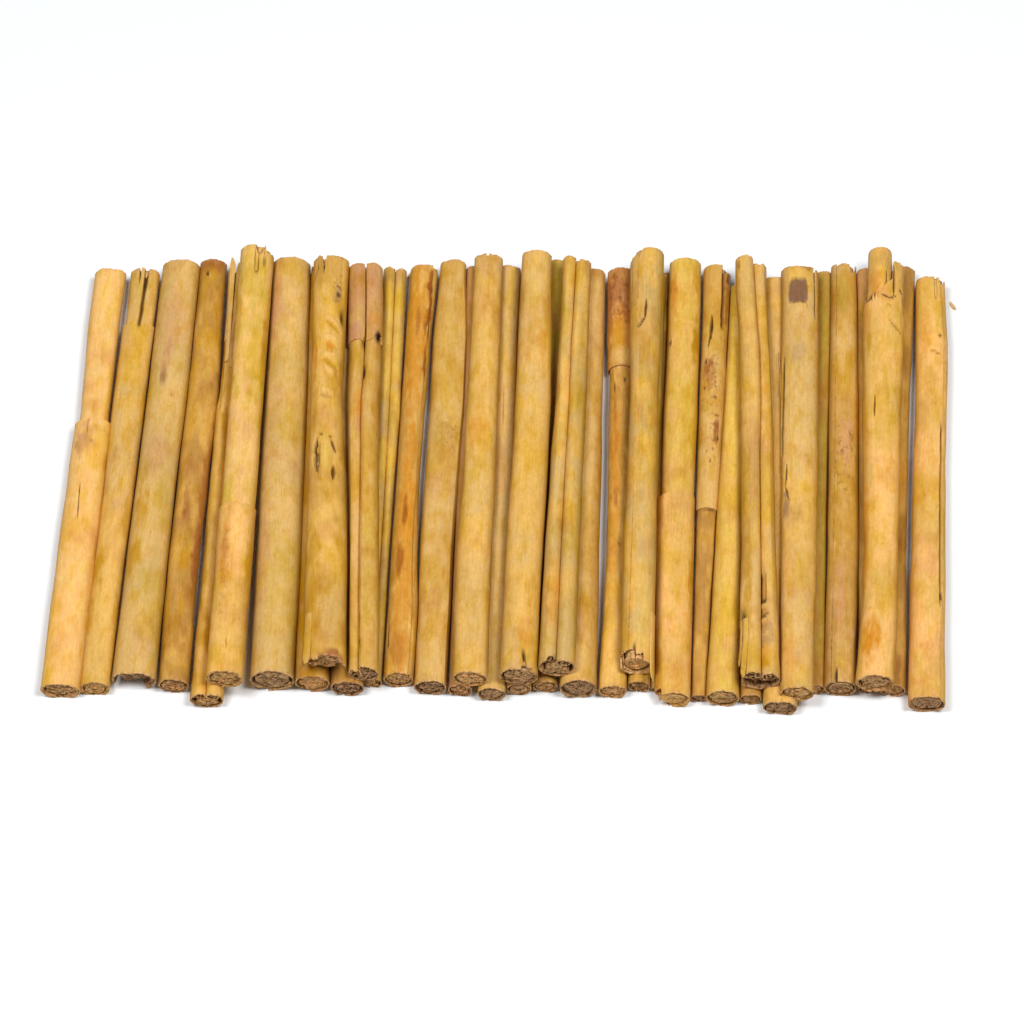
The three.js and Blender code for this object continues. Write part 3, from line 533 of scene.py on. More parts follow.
UPPER = [
    Quill((-69.4, -64.8, 8.9, 8.3), (-66.8, 65.8, 9.0, 8.3), ("yellow", "pale"),
        sleeve=Sleeve(0, 0.384, 0.45, ("peach", "gold")), course=((62, 0, 0), (0, 0.1, -0.3)),
        torn=[("back", 58, 84, 5.4, 1.2), ("back", -90, 54, 1.6)],
        marks=[crack(84, 56.5, 67, 0.55, 0.8, 2, "umber"), stain("plum", 60, 60, 7, 1.6, 0.7),
            *stains("mustard", (155, 24, 18, 7, 0.9), (133, 42, 18, 9, 0.5), (28, 33, 20, 12),
                (28, -32, 22, 7, 0.9)),
            stain("orange", 114, -28, 18, 14, 0.5), stain("russet", 114, -29, 11, 6, 0.35),
            specks(114, -32, 20, 20, 0.35), stain("pale", 110, 20, 24, 30, 0.5),
            stain("olive", 130, 55, 22, 12, 0.3), scar((90, -55), (86, -58), 0.2, 0.2, "brown"),
            stain("pale", 125, 64, 40, 2.5, 0.7)]),
    Quill((-44.3, -62.4, 10.9, 9.4), (-47.1, 62.7, 9.2, 7.9), ("gold", "honey"), inset=2,
        course=((62, 0, 0), (44, -0.3, -0.7), (18, -0.6, -1.3), (-3, -0.25, -0.5), (-22, 0, 0)),
        torn=[("front", 182, 358, 9), ("front", 40, 104, 0.9), ("front", 120, 150, 0.4, 1.5),
            ("back", 105, 112, 1, 6), ("back", 112, 118, 6, 1)],
        flakes=[(136, -48, -63.5, 12, 0.4, "gold")],
        marks=[scar((121, 61), (163, 55), 0.4, 0.4, "brown"),
            # painted light: the darker tones in the creases from 17 to 43 along are painted shade, and the
            # pale along the ridges between them painted highlights
            scar((96, 41.5), (45, 38), 0.8, 0.4, "mustard"),
            scar((100, 43), (60, 40.5), 0.8, -0.35, "pale", 0.6),
            scar((104, 36.5), (55, 35.8), 0.8, -0.35, "pale", 0.8),
            scar((92, 34), (58, 33), 0.9, 0.35, "orange", 0.8),
            *stains("orange", (82, 32.5, 16, 2.6, 0.7), (137, 29, 14, 8)),
            scar((106, 31), (68, 30.5), 0.8, -0.3, "pale", 0.6),
            scar((106, 29.5), (50, 26.5), 0.8, 0.4, "mustard"),
            scar((96, 27), (60, 24), 0.9, -0.3, "pale", 0.6),
            *stains("mustard", (56, 22, 18, 4), (126, -42, 16, 12, 0.7)),
            scar((120, 18.5), (62, 17), 0.7, 0.35, "brown", 0.7),
            scar((116, 20), (70, 19), 0.7, -0.25, "pale", 0.5), stain("mustard", 130, 16, 14, 9, 0.6),
            stain("ash", 60, 51, 20, 5, 0.5), knot(58, 50, 0.6, "umber"), specks(58, 52, 24, 6, 0.9),
            # painted shade: the dark dent high on its right side, near 43 along, stands for the shade in a
            # notch
            stain("russet", 62, -61, 50, 2.4, 0.9), dent(30, 43.5, 14, 2.2, 0.9, "dark", 0.9),
            *stains("mustard", (48, 45, 20, 2.4, 0.6), (132, -58, 16, 5, 0.7)),
            knot(104, 5.7, 0.34, "dark"), knot(77, 4.8, 0.3, "umber"),
            scar((122, 4), (130, 0.8), 0.7, 1.1), scar((128, 1.2), (122, -5), 0.85, 1.2),
            scar((135, 0), (120, -0.9), 0.14, 0, "pale"), scar((72, 4), (56, 0.4), 0.45, 0.6, "umber"),
            scar((63, -4), (66, -7.6), 0.6, 0.9, "umber"), stain("pale", 64, -3.4, 5, 0.9),
            dent(92, -1, 16, 6, -0.5, "yellow", 0.9), scar((110, 3), (118, -7), 0.4, 0.25, "mustard"),
            scar((118, -7), (96, -9), 0.4, 0.2, "mustard"),
            *stains("mustard", (120, -30, 26, 7, 0.7), (50, -25, 18, 6, 0.7)),
            stain("khaki", 70, -48, 40, 10, 0.5)]),
    Quill((-34.4, -62.5, 7.6, 6.6), (-38.0, 61.9, 8.5, 7.3), ("tan", "honey"), twin=88,
        sleeve=Sleeve(0.8, 1, 0.35, ("rosy", "tan"), torn=[("front", 16, 56, 1.6)]),
        course=((62, 0, 0), (42, 0, 0), (20, -0.4, 0), (0, -0.3, -0.2), (-22, 0, 0)),
        drift=((39, 2), (27, 13), (17, 27), (-34, 37)),
        marks=[crack(94, 26, 38, 0.5, 1.0, -2, "umber"), stain("orange", 112, 17, 26, 6),
            *stains("rosy", (48, 50, 44, 16, 0.6), (118, 11, 22, 4, 0.7)),
            # painted shadow: the dark stain near 38 along, at the torn front edge of its outer layer, is
            # the shadow under that edge
            stain("dark", 36, 38.2, 16, 2.2, 1.0), stain("orange", 53, 44, 18, 3.1, 0.6),
            stain("mustard", 40, 5, 20, 20, 0.5), crack(118, -62, -46, 0.2, 0.4, -8, "umber")]),
    Quill((-7.6, -63.3, 9.1, 8.0), (-5.5, 66.6, 7.7, 6.8), ("tan", "gold"),
        course=((0, 0, 0), (-22, -0.2, 0.4), (-42, -0.25, 0.5), (-60, 0, 0)), torn=[("back", 84, 94, 0.9)],
        marks=[stain("orange", 100, 10, 40, 8, 0.5), stain("mustard", 50, 45, 20, 10, 0.4)]),
    Quill((4.7, -63.0, 9.6, 8.6), (7.2, 65.9, 7.4, 6.6), ("gold", "tan"),
        course=((62, 0.1, 0.2), (42, 0.5, 1.0), (20, 0.7, 1.4), (0, 0.55, 1.1), (-22, 0.1, 0.2),
            (-42, 0, 0)), torn=[("front", 40, 78, 0.8)],
        marks=[*stains("mustard", (40, 46, 24, 7, 0.6), (60, -40, 24, 8, 0.6)),
            *stains("orange", (60, 36, 20, 5, 0.5), (75, -52, 30, 6, 0.6)),
            stain("yellow", 100, 52, 40, 8, 0.5), crack(70, -62, -57, 0.4, 0.6, 8)]),
    Quill((14.1, -61.2, 9.3, 8.5), (17.8, 64.3, 8.0, 7.2), ("khaki", "gold"), twin=97,
        course=((62, 0.2, -0.4), (42, 0.4, -0.8), (20, 0.4, -0.8), (0, 0.1, -0.3), (-22, 0, 0)),
        drift=((64, 0), (37, 14), (11, 7), (-40, 0)),
        torn=[("back", -90, 86, 1.4), ("front", 95, 122, 1.2)],
        marks=[crack(102, -63, -56, 0.5, 0.7, -6), stain("orange", 120, -40, 24, 14, 0.5),
            stain("olive", 60, 30, 22, 20, 0.4), stain("brown", 50, 60, 20, 3.1, 0.5)]),
    Quill((34.3, -59.2, 8.4, 7.7), (36.7, 66.0, 9.0, 8.3), ("gold", "khaki"), seam=122, inset=1,
        course=((62, 0, 0), (42, -0.1, -0.5), (20, 0, -1.4), (0, -0.1, -1.1), (-22, 0, 0)),
        torn=[("front", 96, 187, 2.6), ("front", 60, 93, 1.6), ("back", 118, 200, 1.5, 4.2)],
        flakes=[(20, -44, -64, 16, 0.2, "pale")],
        marks=[scar((90, 49), (94, 44), 0.4, 0.6, "umber"), scar((94, 44), (112, 42), 0.4, 0.6, "umber"),
            scar((110, 42.4), (124, 41), 0.6, 0.7), scar((150, 60), (156, 50), 0.3, 0.3, "brown"),
            stain("brown", 140, 52, 22, 5, 0.5), stain("olive", 40, 50, 22, 14, 0.4),
            crack(98, -60, -54, 0.4, 0.8, 6), stain("yellow", 70, -45, 30, 14, 0.5),
            *stains("mustard", (45, 20, 18, 20, 0.5), (95, 33, 30, 5, 0.4))]),
    Quill((65.2, -62.8, 10.3, 8.8), (63.9, 66.1, 8.4, 7.2), ("gold", "tan"), twin=76, inset=1.5,
        course=((62, 0.2, -0.2), (42, 0.5, -0.7), (20, 0.85, -0.3), (0, 0.75, -0.8), (-22, 0.55, -1.1),
            (-42, 0.2, -0.4), (-60, 0, 0)), drift=((66, -4), (35, -20), (3, -2), (-60, 3)),
        torn=[("front", 128, 200, 15), ("front", 73, 82, 7), ("back", -90, 73, 1.8)],
        flakes=[(153, -46, -60, 6, 0.3, "peach"), (133, -46, -64, 9, 0.5, "gold")],
        # painted shade: the dark pit of the knot near -40 along stands for the shade in an opening of its
        # groove
        marks=[crack(74, -41, -32, 0.7, 0.8, -3, "brown"), knot(69, -40.5, 0.55, "dark"),
            scar((71, -42.5), (60, -44), 0.35, 0.4, "brown"),
            scar((60, -44), (70, -45.5), 0.3, 0.3, "umber"), crack(79, -64, -57, 0.5, 1.0),
            patch("ash", 58, -50.3, 14, 3.2, 0.55), scar((70, -48), (60, -46.6), 0.3, 0.2, "brown", 0.7),
            # painted highlight: the pale on the raised ridge near -50 along
            scar((66, -51), (56, -49), 0.35, -0.2, "pale", 0.6),
            scar((72, -53.8), (48, -53.6), 0.3, 0.2, "brown", 0.7),
            stain("orange", 58, -56, 20, 2.6, 0.45), stain("mustard", 68, -58.5, 9, 2.2, 1.0),
            dent(40, -50, 26, 8, -0.35, "gold", 0.3), dent(150, -40, 16, 6, -0.5, "tan", 0.6),
            # painted shade: the dark dent on its upper left near -46 along stands for the shade in a
            # hollow
            dent(146, -45.8, 14, 2.4, 0.6, "dark", 0.9),
            *stains("mustard", (128, -35, 16, 20, 0.7), (35, 20, 20, 40, 0.6)), knot(142, 63, 0.8),
            stain("rosy", 110, 2, 26, 18, 0.5), stain("mustard", 150, -15, 16, 18, 0.5)]),
    Quill((74.7, -65.4, 8.3, 7.3), (77.1, 63.6, 9.8, 8.6), ("tan", "gold"), press=2,
        course=((62, 0, 0), (42, 0.1, 0.3), (0, 0.3, 0.6), (-22, 0.3, 0.6), (-42, 0, 0.1)),
        torn=[("back", 28, 34, 5)], flakes=[(163, 24, 38, 4, 0.6, "pale")],
        marks=[patch("umber", 95, 55.3, 33, 4.1, 0.5), patch("plum", 95, 55.3, 29, 3.7, 0.75),
            specks(95, 55, 20, 3, 0.5), stain("russet", 72, 63.5, 18, 2.6, 0.6),
            scar((72, 52.5), (64, 49.8), 0.2, 0.2, "brown"), scar((134, 1), (142, -5), 0.4, 0.8),
            scar((142, -5), (128, -9), 0.3, 0.6, "umber"), crack(156, 5, 34, 0.5, 0.9, -10),
            stain("ash", 132, -11, 22, 5), stain("brown", 105, -14, 40, 4.5, 0.6),
            stain("khaki", 80, 25, 50, 16, 0.5), stain("ash", 100, 36, 30, 5, 0.3),
            *stains("orange", (120, -32, 24, 8, 0.35), (115, -57, 30, 8, 0.4)),
            crack(36, 48, 64, 0.3, 0.5, 2, "umber"), knot(70, 4, 0.3)]),
    Quill((94.3, -62.4, 9.1, 8.0), (98.4, 68.4, 9.0, 7.9), ("peach", "gold"),
        sleeve=Sleeve(0, 0.976, 0.35, ("peach", "gold"), ((42, 1.0, 1.0), (20, 0.9, 0.4), (0, 1.05, -0.4),
            (-20, 1.2, -1.0), (-42, 0.85, -0.8), (-60, 0, 0)), torn=[("back", -90, 63, 1.2),
            ("back", 61, 118, 6.5, 12.4), ("back", 118, 210, 12.4, 14.2)]),
        course=((68, 0, -2.6), (54, 0, -2.0), (44, 0.4, -1.2), (36, 0.9, -0.2), (0, 1.05, -0.4),
            (-20, 1.2, -1.0), (-42, 0.85, -0.8), (-60, 0, 0)),
        flakes=[(116, 49.5, 53.6, 6, 0.4, "pale"), (104, 50, 54, 5, 0.3, "pale")],
        marks=[*stains("orange", (112, -52, 34, 8, 1.0), (112, 58, 34, 4, 0.7), (150, -20, 18, 20, 0.5),
            (150, 10, 16, 14, 0.5)),
            scar((112, 21), (114, 15), 0.24, 0.3, "umber"), stain("brown", 80, 64, 60, 3, 0.4),
            # painted shadow: the dark scar along the torn back edge of its outer layer, near 52 along, is
            # the shadow under that edge, and the dark brown creases in front of it painted shade
            scar((156, 51.6), (114, 53.4), 0.9, 0.6), scar((96, 53), (74, 51.7), 0.35, 0.3, "crevice"),
            scar((74, 51.7), (54, 52.6), 0.35, 0.3, "crevice"),
            *stains("mustard", (66, 55, 16, 2.6, 0.5), (134, 39, 13, 5)),
            scar((58, 61), (60, 53), 0.35, 0.5, "umber"), scar((40, 55.5), (22, 54), 0.4, 0.4, "umber"),
            scar((22, 54), (18, 50), 0.3, 0.3, "umber"), scar((72, 44.5), (30, 41.5), 0.5, 0.35, "brown"),
            scar((80, 50), (62, 49), 0.3, 0.15, "brown", 0.6), stain("pale", 18, 46, 9, 2.6, 0.9),
            stain("orange", 140, 46, 20, 6, 0.5)]),
]

END_SHADE, END_SHADE_SWING = 0.85, 0.4  # how light the cut ends are, and how that varies

settle(LOWER, UPPER)
QUILLS = sorted(LOWER + UPPER, key=lambda quill: quill.ends[:, 0].sum())
for number, stick in enumerate(LOWER + UPPER):
    stick.index = number
    stick.end_shade = END_SHADE + END_SHADE_SWING * math.sin(number * 2.4)

# --- curves of a sheet

# A sheet's section: its points as shares of the quill's half width and height, their turns,
# and how freely each takes the bark's relief, from 1 outside to 0 inside the roll.
Curve = namedtuple("Curve", "points turn free")


def spaced(start, stop, fine, close):
    """Turns from start to stop: close together on the upper side and round small marks,
    wider below."""
    places = [start]
    while places[-1] < stop - COARSE:
        here = places[-1]
        upper = math.sin(math.radians(here)) > -0.3
        marked = any((here - low + STRAY) % 360 < high - low + 2 * STRAY for low, high in close)
        places.append(here + ((fine / 2 if marked else fine) if upper else COARSE))
    return np.array(places + [stop])


INSIDE_START, INSIDE_STEP = 372, 18  # degrees after the lip where the inside begins, its columns


def single_roll(seam, windings, fine, close):
    """A sheet rolled from one edge, whose lip lies outside."""
    outside = spaced(seam, seam + 360, fine, close)
    inside = np.arange(seam + INSIDE_START, seam + 360 * windings, INSIDE_STEP)
    turn = np.concatenate([outside, inside])
    wound = turn - seam
    return Curve(on_circle(turn, roll_reach(wound)), turn, 1 - smooth(wound, 330, 366))


TWIN_SHOULDER = 30  # degrees from the groove to where the outside begins
TWIN_CENTRE = np.array([0.46, 0.34])  # middle of a curl, with the groove at the top
TWIN_TURNS, TWIN_REACHES = (86, 180, 720), (0.527, 0.45, 0.12)
TWIN_SEEN, TWIN_STEP = 150, 16.0  # how far round a curl the groove is seen, and its columns


def right_curl():
    """One curl beside the groove, how far from the groove it lies, and which of it is seen."""
    turn = np.arange(TWIN_TURNS[0], TWIN_TURNS[-1], TWIN_STEP)
    points = TWIN_CENTRE + on_circle(turn, np.interp(turn, TWIN_TURNS, TWIN_REACHES))
    away = 90 - np.degrees(np.arctan2(points[:, 1], points[:, 0]))
    seen = turn < TWIN_SEEN
    return points, np.where(seen, away, away[seen][-1]), seen


def lobe_reach(away):
    """Reach of a quill rolled from both edges, so many degrees away from its groove."""
    points, off, seen = right_curl()
    return np.interp(away, off[seen][::-1], np.linalg.norm(points[seen], axis=1)[::-1])


def twin_roll(groove, fine, close):
    """A sheet rolled from both edges, which meet in a groove and curl up inside."""
    right, away, _ = right_curl()
    left = (right * [-1, 1])[::-1]
    shoulder = TWIN_SHOULDER + FINE
    outside = spaced(groove + shoulder, groove + 360 - shoulder, fine, close)
    points = [spun(left, groove - 90), on_circle(outside, 1.0), spun(right, groove - 90)]
    fade = np.linspace(0.6, -1.5, len(right)).clip(0)
    turn = np.concatenate([groove + away[::-1], outside, groove + 360 - away])
    return Curve(np.vstack(points), turn, np.concatenate([fade[::-1], np.ones(len(outside)), fade]))


ROLL_STEP = 30.0  # degrees between an inner roll's columns


def inner_roll(centre, radius, windings, pitch, start, hand):
    """A small spiral; hand -1 winds it the other way."""
    turn = np.arange(0, 360 * windings + 1, ROLL_STEP)
    points = on_circle(turn + start, radius - pitch * turn / 360)
    if hand < 0:
        points = (points * [-1, 1])[::-1]
    return Curve(points + centre, turn, np.zeros(len(turn)))


def over(quill, turn):
    """The curve of a layer that lies on the bark."""
    if quill.twin is None:
        nearby = [roll_reach((turn - quill.seam + shift) % 360) for shift in (-8, 0, 8)]
        reach = np.max(nearby, axis=0)
    else:
        reach = lobe_reach(np.abs(between(turn, quill.twin)))
    return Curve(on_circle(turn, reach), turn, np.ones(len(turn)))


# --- bent sheets

# What a mesh is put together from. Faces are blocks of (corners, their places on the
# texture), and tone, grain, cut and spots are kept for each point or are the same for all.
Part = namedtuple("Part", "points faces width tone grain cut spots", defaults=(1.0, 0.0))

UV_EDGE = 0.03  # share of the texture's height kept at each end for the cut faces
UV_RIM = np.array([0.004, 0.026])  # where a cut face lies in that
UV_LIP, UV_GAP = 0.8, 0.5  # width kept for a sheet's long edge, and between two of them
UV_INNER, UV_ROLL, UV_ROLL_INNER = 4.0, 3.0, 1.5  # and for an inner face and both of a roll's
ALONG_SPAN = 142.0  # length of quill that the texture's height stands for
GRAIN_STEP = np.array([23.0, 11.0, 7.0])  # sets each quill's pattern apart
WORN, SLEEVE_WORN, FLAKE_WORN = 0.75, 0.25, 0.2  # how raw the bark looks where it ends
WORN_REACH = 0.5  # and how far from the end that fades


def laid(across, up):
    """A grid of places on the texture."""
    return np.stack(np.meshgrid(across, up), axis=-1)


def grid_faces(index, places):
    """Quads between neighbouring points of a grid."""
    at = np.arange(index.size).reshape(index.shape)
    quads = np.stack([at[:-1, :-1], at[1:, :-1], at[1:, 1:], at[:-1, 1:]], axis=-1).reshape(-1, 4)
    return index.ravel()[quads], places.reshape(-1, 2)[quads]


def lip_faces(outer, inner, keep, up, left):
    """Triangles along a long edge, from its many outer points to its few inner ones."""
    row, kept = np.arange(len(outer) - 1), len(outer) + np.arange(len(inner) - 1)
    below = np.searchsorted(keep, row, side="right") - 1
    half = (keep[:-1] + keep[1:]) // 2
    trios = np.vstack([np.stack([row, kept[below] + (row >= half[below]), row + 1], axis=1),
                       np.stack([half, kept, kept + 1], axis=1)])
    across = np.repeat([left, left + UV_LIP], [len(outer), len(inner)])
    places = np.stack([across, np.concatenate([up, up[keep]])], axis=1)
    return np.concatenate([outer, inner])[trios], places[trios]


def sheet_faces(curve, rows, keep, half_width, shown):
    """The faces of a closed sheet and their width on the texture, in millimetres of bark.

    The outer face is an unrolled rectangle, the inner face a narrow one beside it, and the
    two long edges narrow strips.
    """
    columns = len(curve.turn)
    outer = np.arange(len(rows) * columns).reshape(-1, columns)
    inner = outer.size + np.arange(len(keep) * columns).reshape(-1, columns)

    steps = np.linalg.norm(np.diff(curve.points, axis=0), axis=1)
    share = np.concatenate([[0], np.cumsum(steps)]) / steps.sum()
    face, hidden = (steps.sum() * half_width, UV_INNER) if shown else (UV_ROLL, UV_ROLL_INNER)
    start_inner = face + UV_LIP
    start_lip = start_inner + hidden + UV_LIP
    second_lip = start_lip + UV_LIP + UV_GAP
    up = UV_EDGE + (1 - 2 * UV_EDGE) * (rows / ALONG_SPAN + 0.5)

    def end(first, second, heights):
        places = laid(share * face, heights).swapaxes(0, 1)
        return grid_faces(np.stack([first, second], axis=1), places)

    lips = [lip_faces(outer[:, side], inner[:, side], keep, up, left)
            for side, left in ((0, start_lip), (-1, second_lip))]
    faces = [
        grid_faces(outer, laid(share * face, up)),
        grid_faces(inner[:, ::-1], laid(start_inner + share[::-1] * hidden, up[keep])),
        end(outer[0], inner[0], up[0] - UV_RIM),
        end(inner[-1], outer[-1], up[-1] + UV_RIM[::-1]),
        lips[0],
        [block[:, ::-1] for block in lips[1]],
    ]
    return faces, second_lip + UV_LIP + UV_GAP


def normals_of(points):
    tangent = np.gradient(points, axis=0)
    tangent /= np.maximum(np.linalg.norm(tangent, axis=1, keepdims=True), 1e-9)
    return np.stack([tangent[:, 1], -tangent[:, 0]], axis=1)


def rows_between(start, stop, close):
    """Places along from start to stop, closer together near both ends and small marks."""
    if stop - start < 5:
        return np.linspace(start, stop, 8)
    middle = [start + 3]
    while middle[-1] < stop - 3 - CLOSE_GAP:
        here = middle[-1]
        marked = any(low - ROW_GAP < here < high for low, high in close)
        middle.append(min(here + (CLOSE_GAP if marked else ROW_GAP), stop - 2.6))
    return np.concatenate([start + NEAR_END, middle, (stop - NEAR_END)[::-1]])


def sparse(count):
    """Which rows the inner face keeps: those near the ends and a few between."""
    middle = range(8, count - 4, 9)
    return np.unique([0, 1, 2, 4, *middle, count - 5, count - 3, count - 2, count - 1])


def lowest_near(dips, keep):
    """The deepest dip between each kept row and its neighbours, so that the inner face,
    which skips rows, stays under the outer one."""
    lowest = np.zeros_like(dips)
    for before, row, after in zip([0, *keep], keep, [*keep[1:], keep[-1]]):
        lowest[row] = np.minimum(dips[before : after + 1].min(axis=0), 0)
    return lowest


def sheet(quill, curve, rows, thickness, short, lift=0.0, tones=None, shown=True, marks=(),
          course=(), worn=WORN):
    """A closed bent sheet with its outer face on the curve.

    `short` is how far each column stops short at the front and the back. `lift` raises it
    off the curve. A sheet that hardly shows gets little of the texture.
    """
    ease = min(EASE, (rows[-1] - rows[0]) / 2)
    ahead, behind = (np.clip(1 - away / ease, 0, 1)[:, None]
                     for away in (rows - rows[0], rows[-1] - rows))
    y = rows[:, None] + short[0] * ahead - short[1] * behind
    x, z, wide, high = quill.axis(y, course)

    stray = quill.wander(y)
    turn = curve.turn + stray
    rise = (quill.relief(turn, y) if shown else 0.0) * curve.free + lift
    tone = quill.colour(turn, y, tones) * (1 if shown else quill.end_shade)
    marked, spots = np.zeros_like(turn), np.zeros_like(turn)
    felt = 1.0 if quill.twin is None else np.clip(2.5 * curve.free, 0, 1)
    for mark in marks:
        lifted, weight = mark.shape(turn, y)
        marked, weight = marked + lifted * felt, weight * felt
        if mark.tone == "specks":
            spots = np.maximum(spots, weight)
        else:
            weight = weight[..., None]
            tone = tone * (1 - weight) + TONES[mark.tone] * weight

    middle, size = quill.fit
    out = (spun(curve.points, stray) - middle) / size
    normal = spun(normals_of(curve.points), stray)

    def raised(rise):
        up = z + high * out[..., 1] + normal[..., 1] * rise
        if quill.on_floor:
            up = np.maximum(up, FLOOR_GAP)
        return np.stack([x + wide * out[..., 0] + normal[..., 0] * rise, y, up], axis=-1)

    def both(outside, inside):
        return np.concatenate([outside.reshape(-1, 3), inside.reshape(-1, 3)])

    keep = sparse(len(rows))
    outer = raised(rise + marked)
    inner = raised(rise + lowest_near(marked, keep) - thickness)[keep]
    grain = outer - np.stack([x, 0 * x, z], axis=-1) + quill.index * GRAIN_STEP
    from_end = np.minimum(y - y[0], y[-1] - y)
    cut = worn * np.exp(-from_end / WORN_REACH) if shown else np.ones_like(y)
    faces, width = sheet_faces(curve, rows, keep, wide.mean(), shown)
    return Part(both(outer, inner), faces, width,
                tone=both(tone, tone[keep] * quill.end_shade),
                grain=both(grain, grain[keep]),
                cut=np.concatenate([cut.ravel(), np.ones(inner[..., 0].size)]),
                spots=np.concatenate([spots.ravel(), np.zeros(inner[..., 0].size)]))


# --- one quill


def ragged_end(quill, end, turn, torn):
    """How far a cut end stops short: its torn stretches and a little unevenness."""
    seed = quill.index * 2 + (end == "back")
    short = RAGGED * noise(turn / 24, 0.5, seed, 15) + 0.25 * noise(turn / 7, 1.5, seed)
    for where, start, stop, *depths in torn:
        if where != end:
            continue
        span, edge = (turn - start) % 360, 3.0
        inside = smooth(span, 0, edge) * (1 - smooth(span, stop - start, stop - start + edge))
        depth = np.interp(span, [0, stop - start], [depths[0], depths[-1]])
        jagged = 0.5 * noise(turn / 5, 3.5, seed) - 0.25 * noise(turn / 14, 7.5, seed)
        short = short + inside * (depth + np.minimum(depth, JAGGED) * jagged)
    return short


INNER_LAYOUTS = (  # centres and radii of the inner rolls, in a space of radius 1
    ((0.0, 0.0, 1.0),),
    ((0.08, 0.0, 0.92), (-0.9, 0.0, 0.1)),
    ((-0.5, 0.0, 0.52), (0.5, 0.0, 0.52), (0.0, 0.68, 0.34), (0.0, -0.68, 0.34)),
    ((-0.54, 0.0, 0.48), (0.27, 0.47, 0.48), (0.27, -0.47, 0.48), (0.85, 0.0, 0.17),
     (-0.43, 0.74, 0.17), (-0.43, -0.74, 0.17)),
    ((-0.34, 0.0, 0.67), (0.52, 0.42, 0.37), (0.52, -0.42, 0.37), (0.82, 0.0, 0.15)),
)
TWIN_LAYOUT = ((-0.38, -0.38, 0.36), (0.38, -0.38, 0.36), (0.0, -0.05, 0.17), (0.0, -0.72, 0.15))
INNER_REACH = 0.8  # of a single roll's half width, left free inside it
INNER_TURNS = (0.9, 5.0)  # fewest and most windings of an inner roll
INNER_BARK = (0.75, 1.05)  # thinnest and thickest, as a share of the quill's own bark
INNER_PITCH = 1.16  # thicknesses from one winding to the next
INNER_FIT = 0.97  # how much of its circle in the layout a roll fills
INNER_INSET = (0.8, 1.1)  # how far in a roll begins, as a share of the quill's inset


def inner_parts(quill, draw, thickness, half):
    """The smaller rolls packed inside, cut about level with the rim."""
    if quill.twin is None:
        layout = INNER_LAYOUTS[draw.integers(0, len(INNER_LAYOUTS))]
        spin, reach = draw.uniform(0, 360), INNER_REACH
    else:
        layout, spin, reach = TWIN_LAYOUT, quill.twin - 90, 1.0
    front, back = quill.ends[:, 1]
    parts = []
    for *centre, radius in layout:
        bark = thickness * draw.uniform(*INNER_BARK)
        pitch = INNER_PITCH * bark / half
        radius = radius * reach * INNER_FIT
        windings = np.clip((radius - 0.5 * pitch) / pitch, *INNER_TURNS)
        curve = inner_roll(spun(np.array(centre), spin) * reach, radius, windings, pitch,
                           draw.uniform(0, 360), draw.choice([-1, 1]))
        first = front + quill.inset * draw.uniform(*INNER_INSET)
        bends = [place for place, *_ in quill.course[::-1] if first + 6 < place < back - 6]
        middle = bends or [(first + back) / 2]
        rows = np.array([first, first + 0.5, first + 4, *middle, back - 4, back - 0.5, back])
        step = np.arange(len(curve.turn)) / 1.9
        uneven = [draw.uniform(0.0, 0.4) + 0.6 * noise(step, 0.5, int(draw.integers(99)))
                  for _ in range(2)]
        parts.append(sheet(quill, curve, rows, bark, uneven, shown=False))
    return parts


CORE_REACH = 0.78  # of the quill's half width, filled behind the inner rolls' ends
CORE_INSET = 0.75  # how far inside the end it begins
# The rings of its end: how far out, as a share, and how far further in.
CORE_RINGS = ((0, 0), (0.3, 0), (0.55, 0), (0.8, 0), (1, 0.3), (0.55, 3))
CORE_SINK = 0.34  # in a quill rolled from both edges it lies this far away from the groove
CORE_SLIM = 0.6  # and is this slim
CORE_UV, CORE_UV_GAP = 6.0, 0.6  # its width on the texture, and the gap beside it
CORE_UV_SIDE = (0.14, 0.86)  # where its side lies
CORE_UV_DISC, CORE_UV_ENDS = np.array([2.82, 0.055]), (0.07, 0.93)  # half size, middles
CORE_ROUGH, CORE_GRAIN = 0.3, 17.0  # unevenness of its ends, and what sets its pattern apart


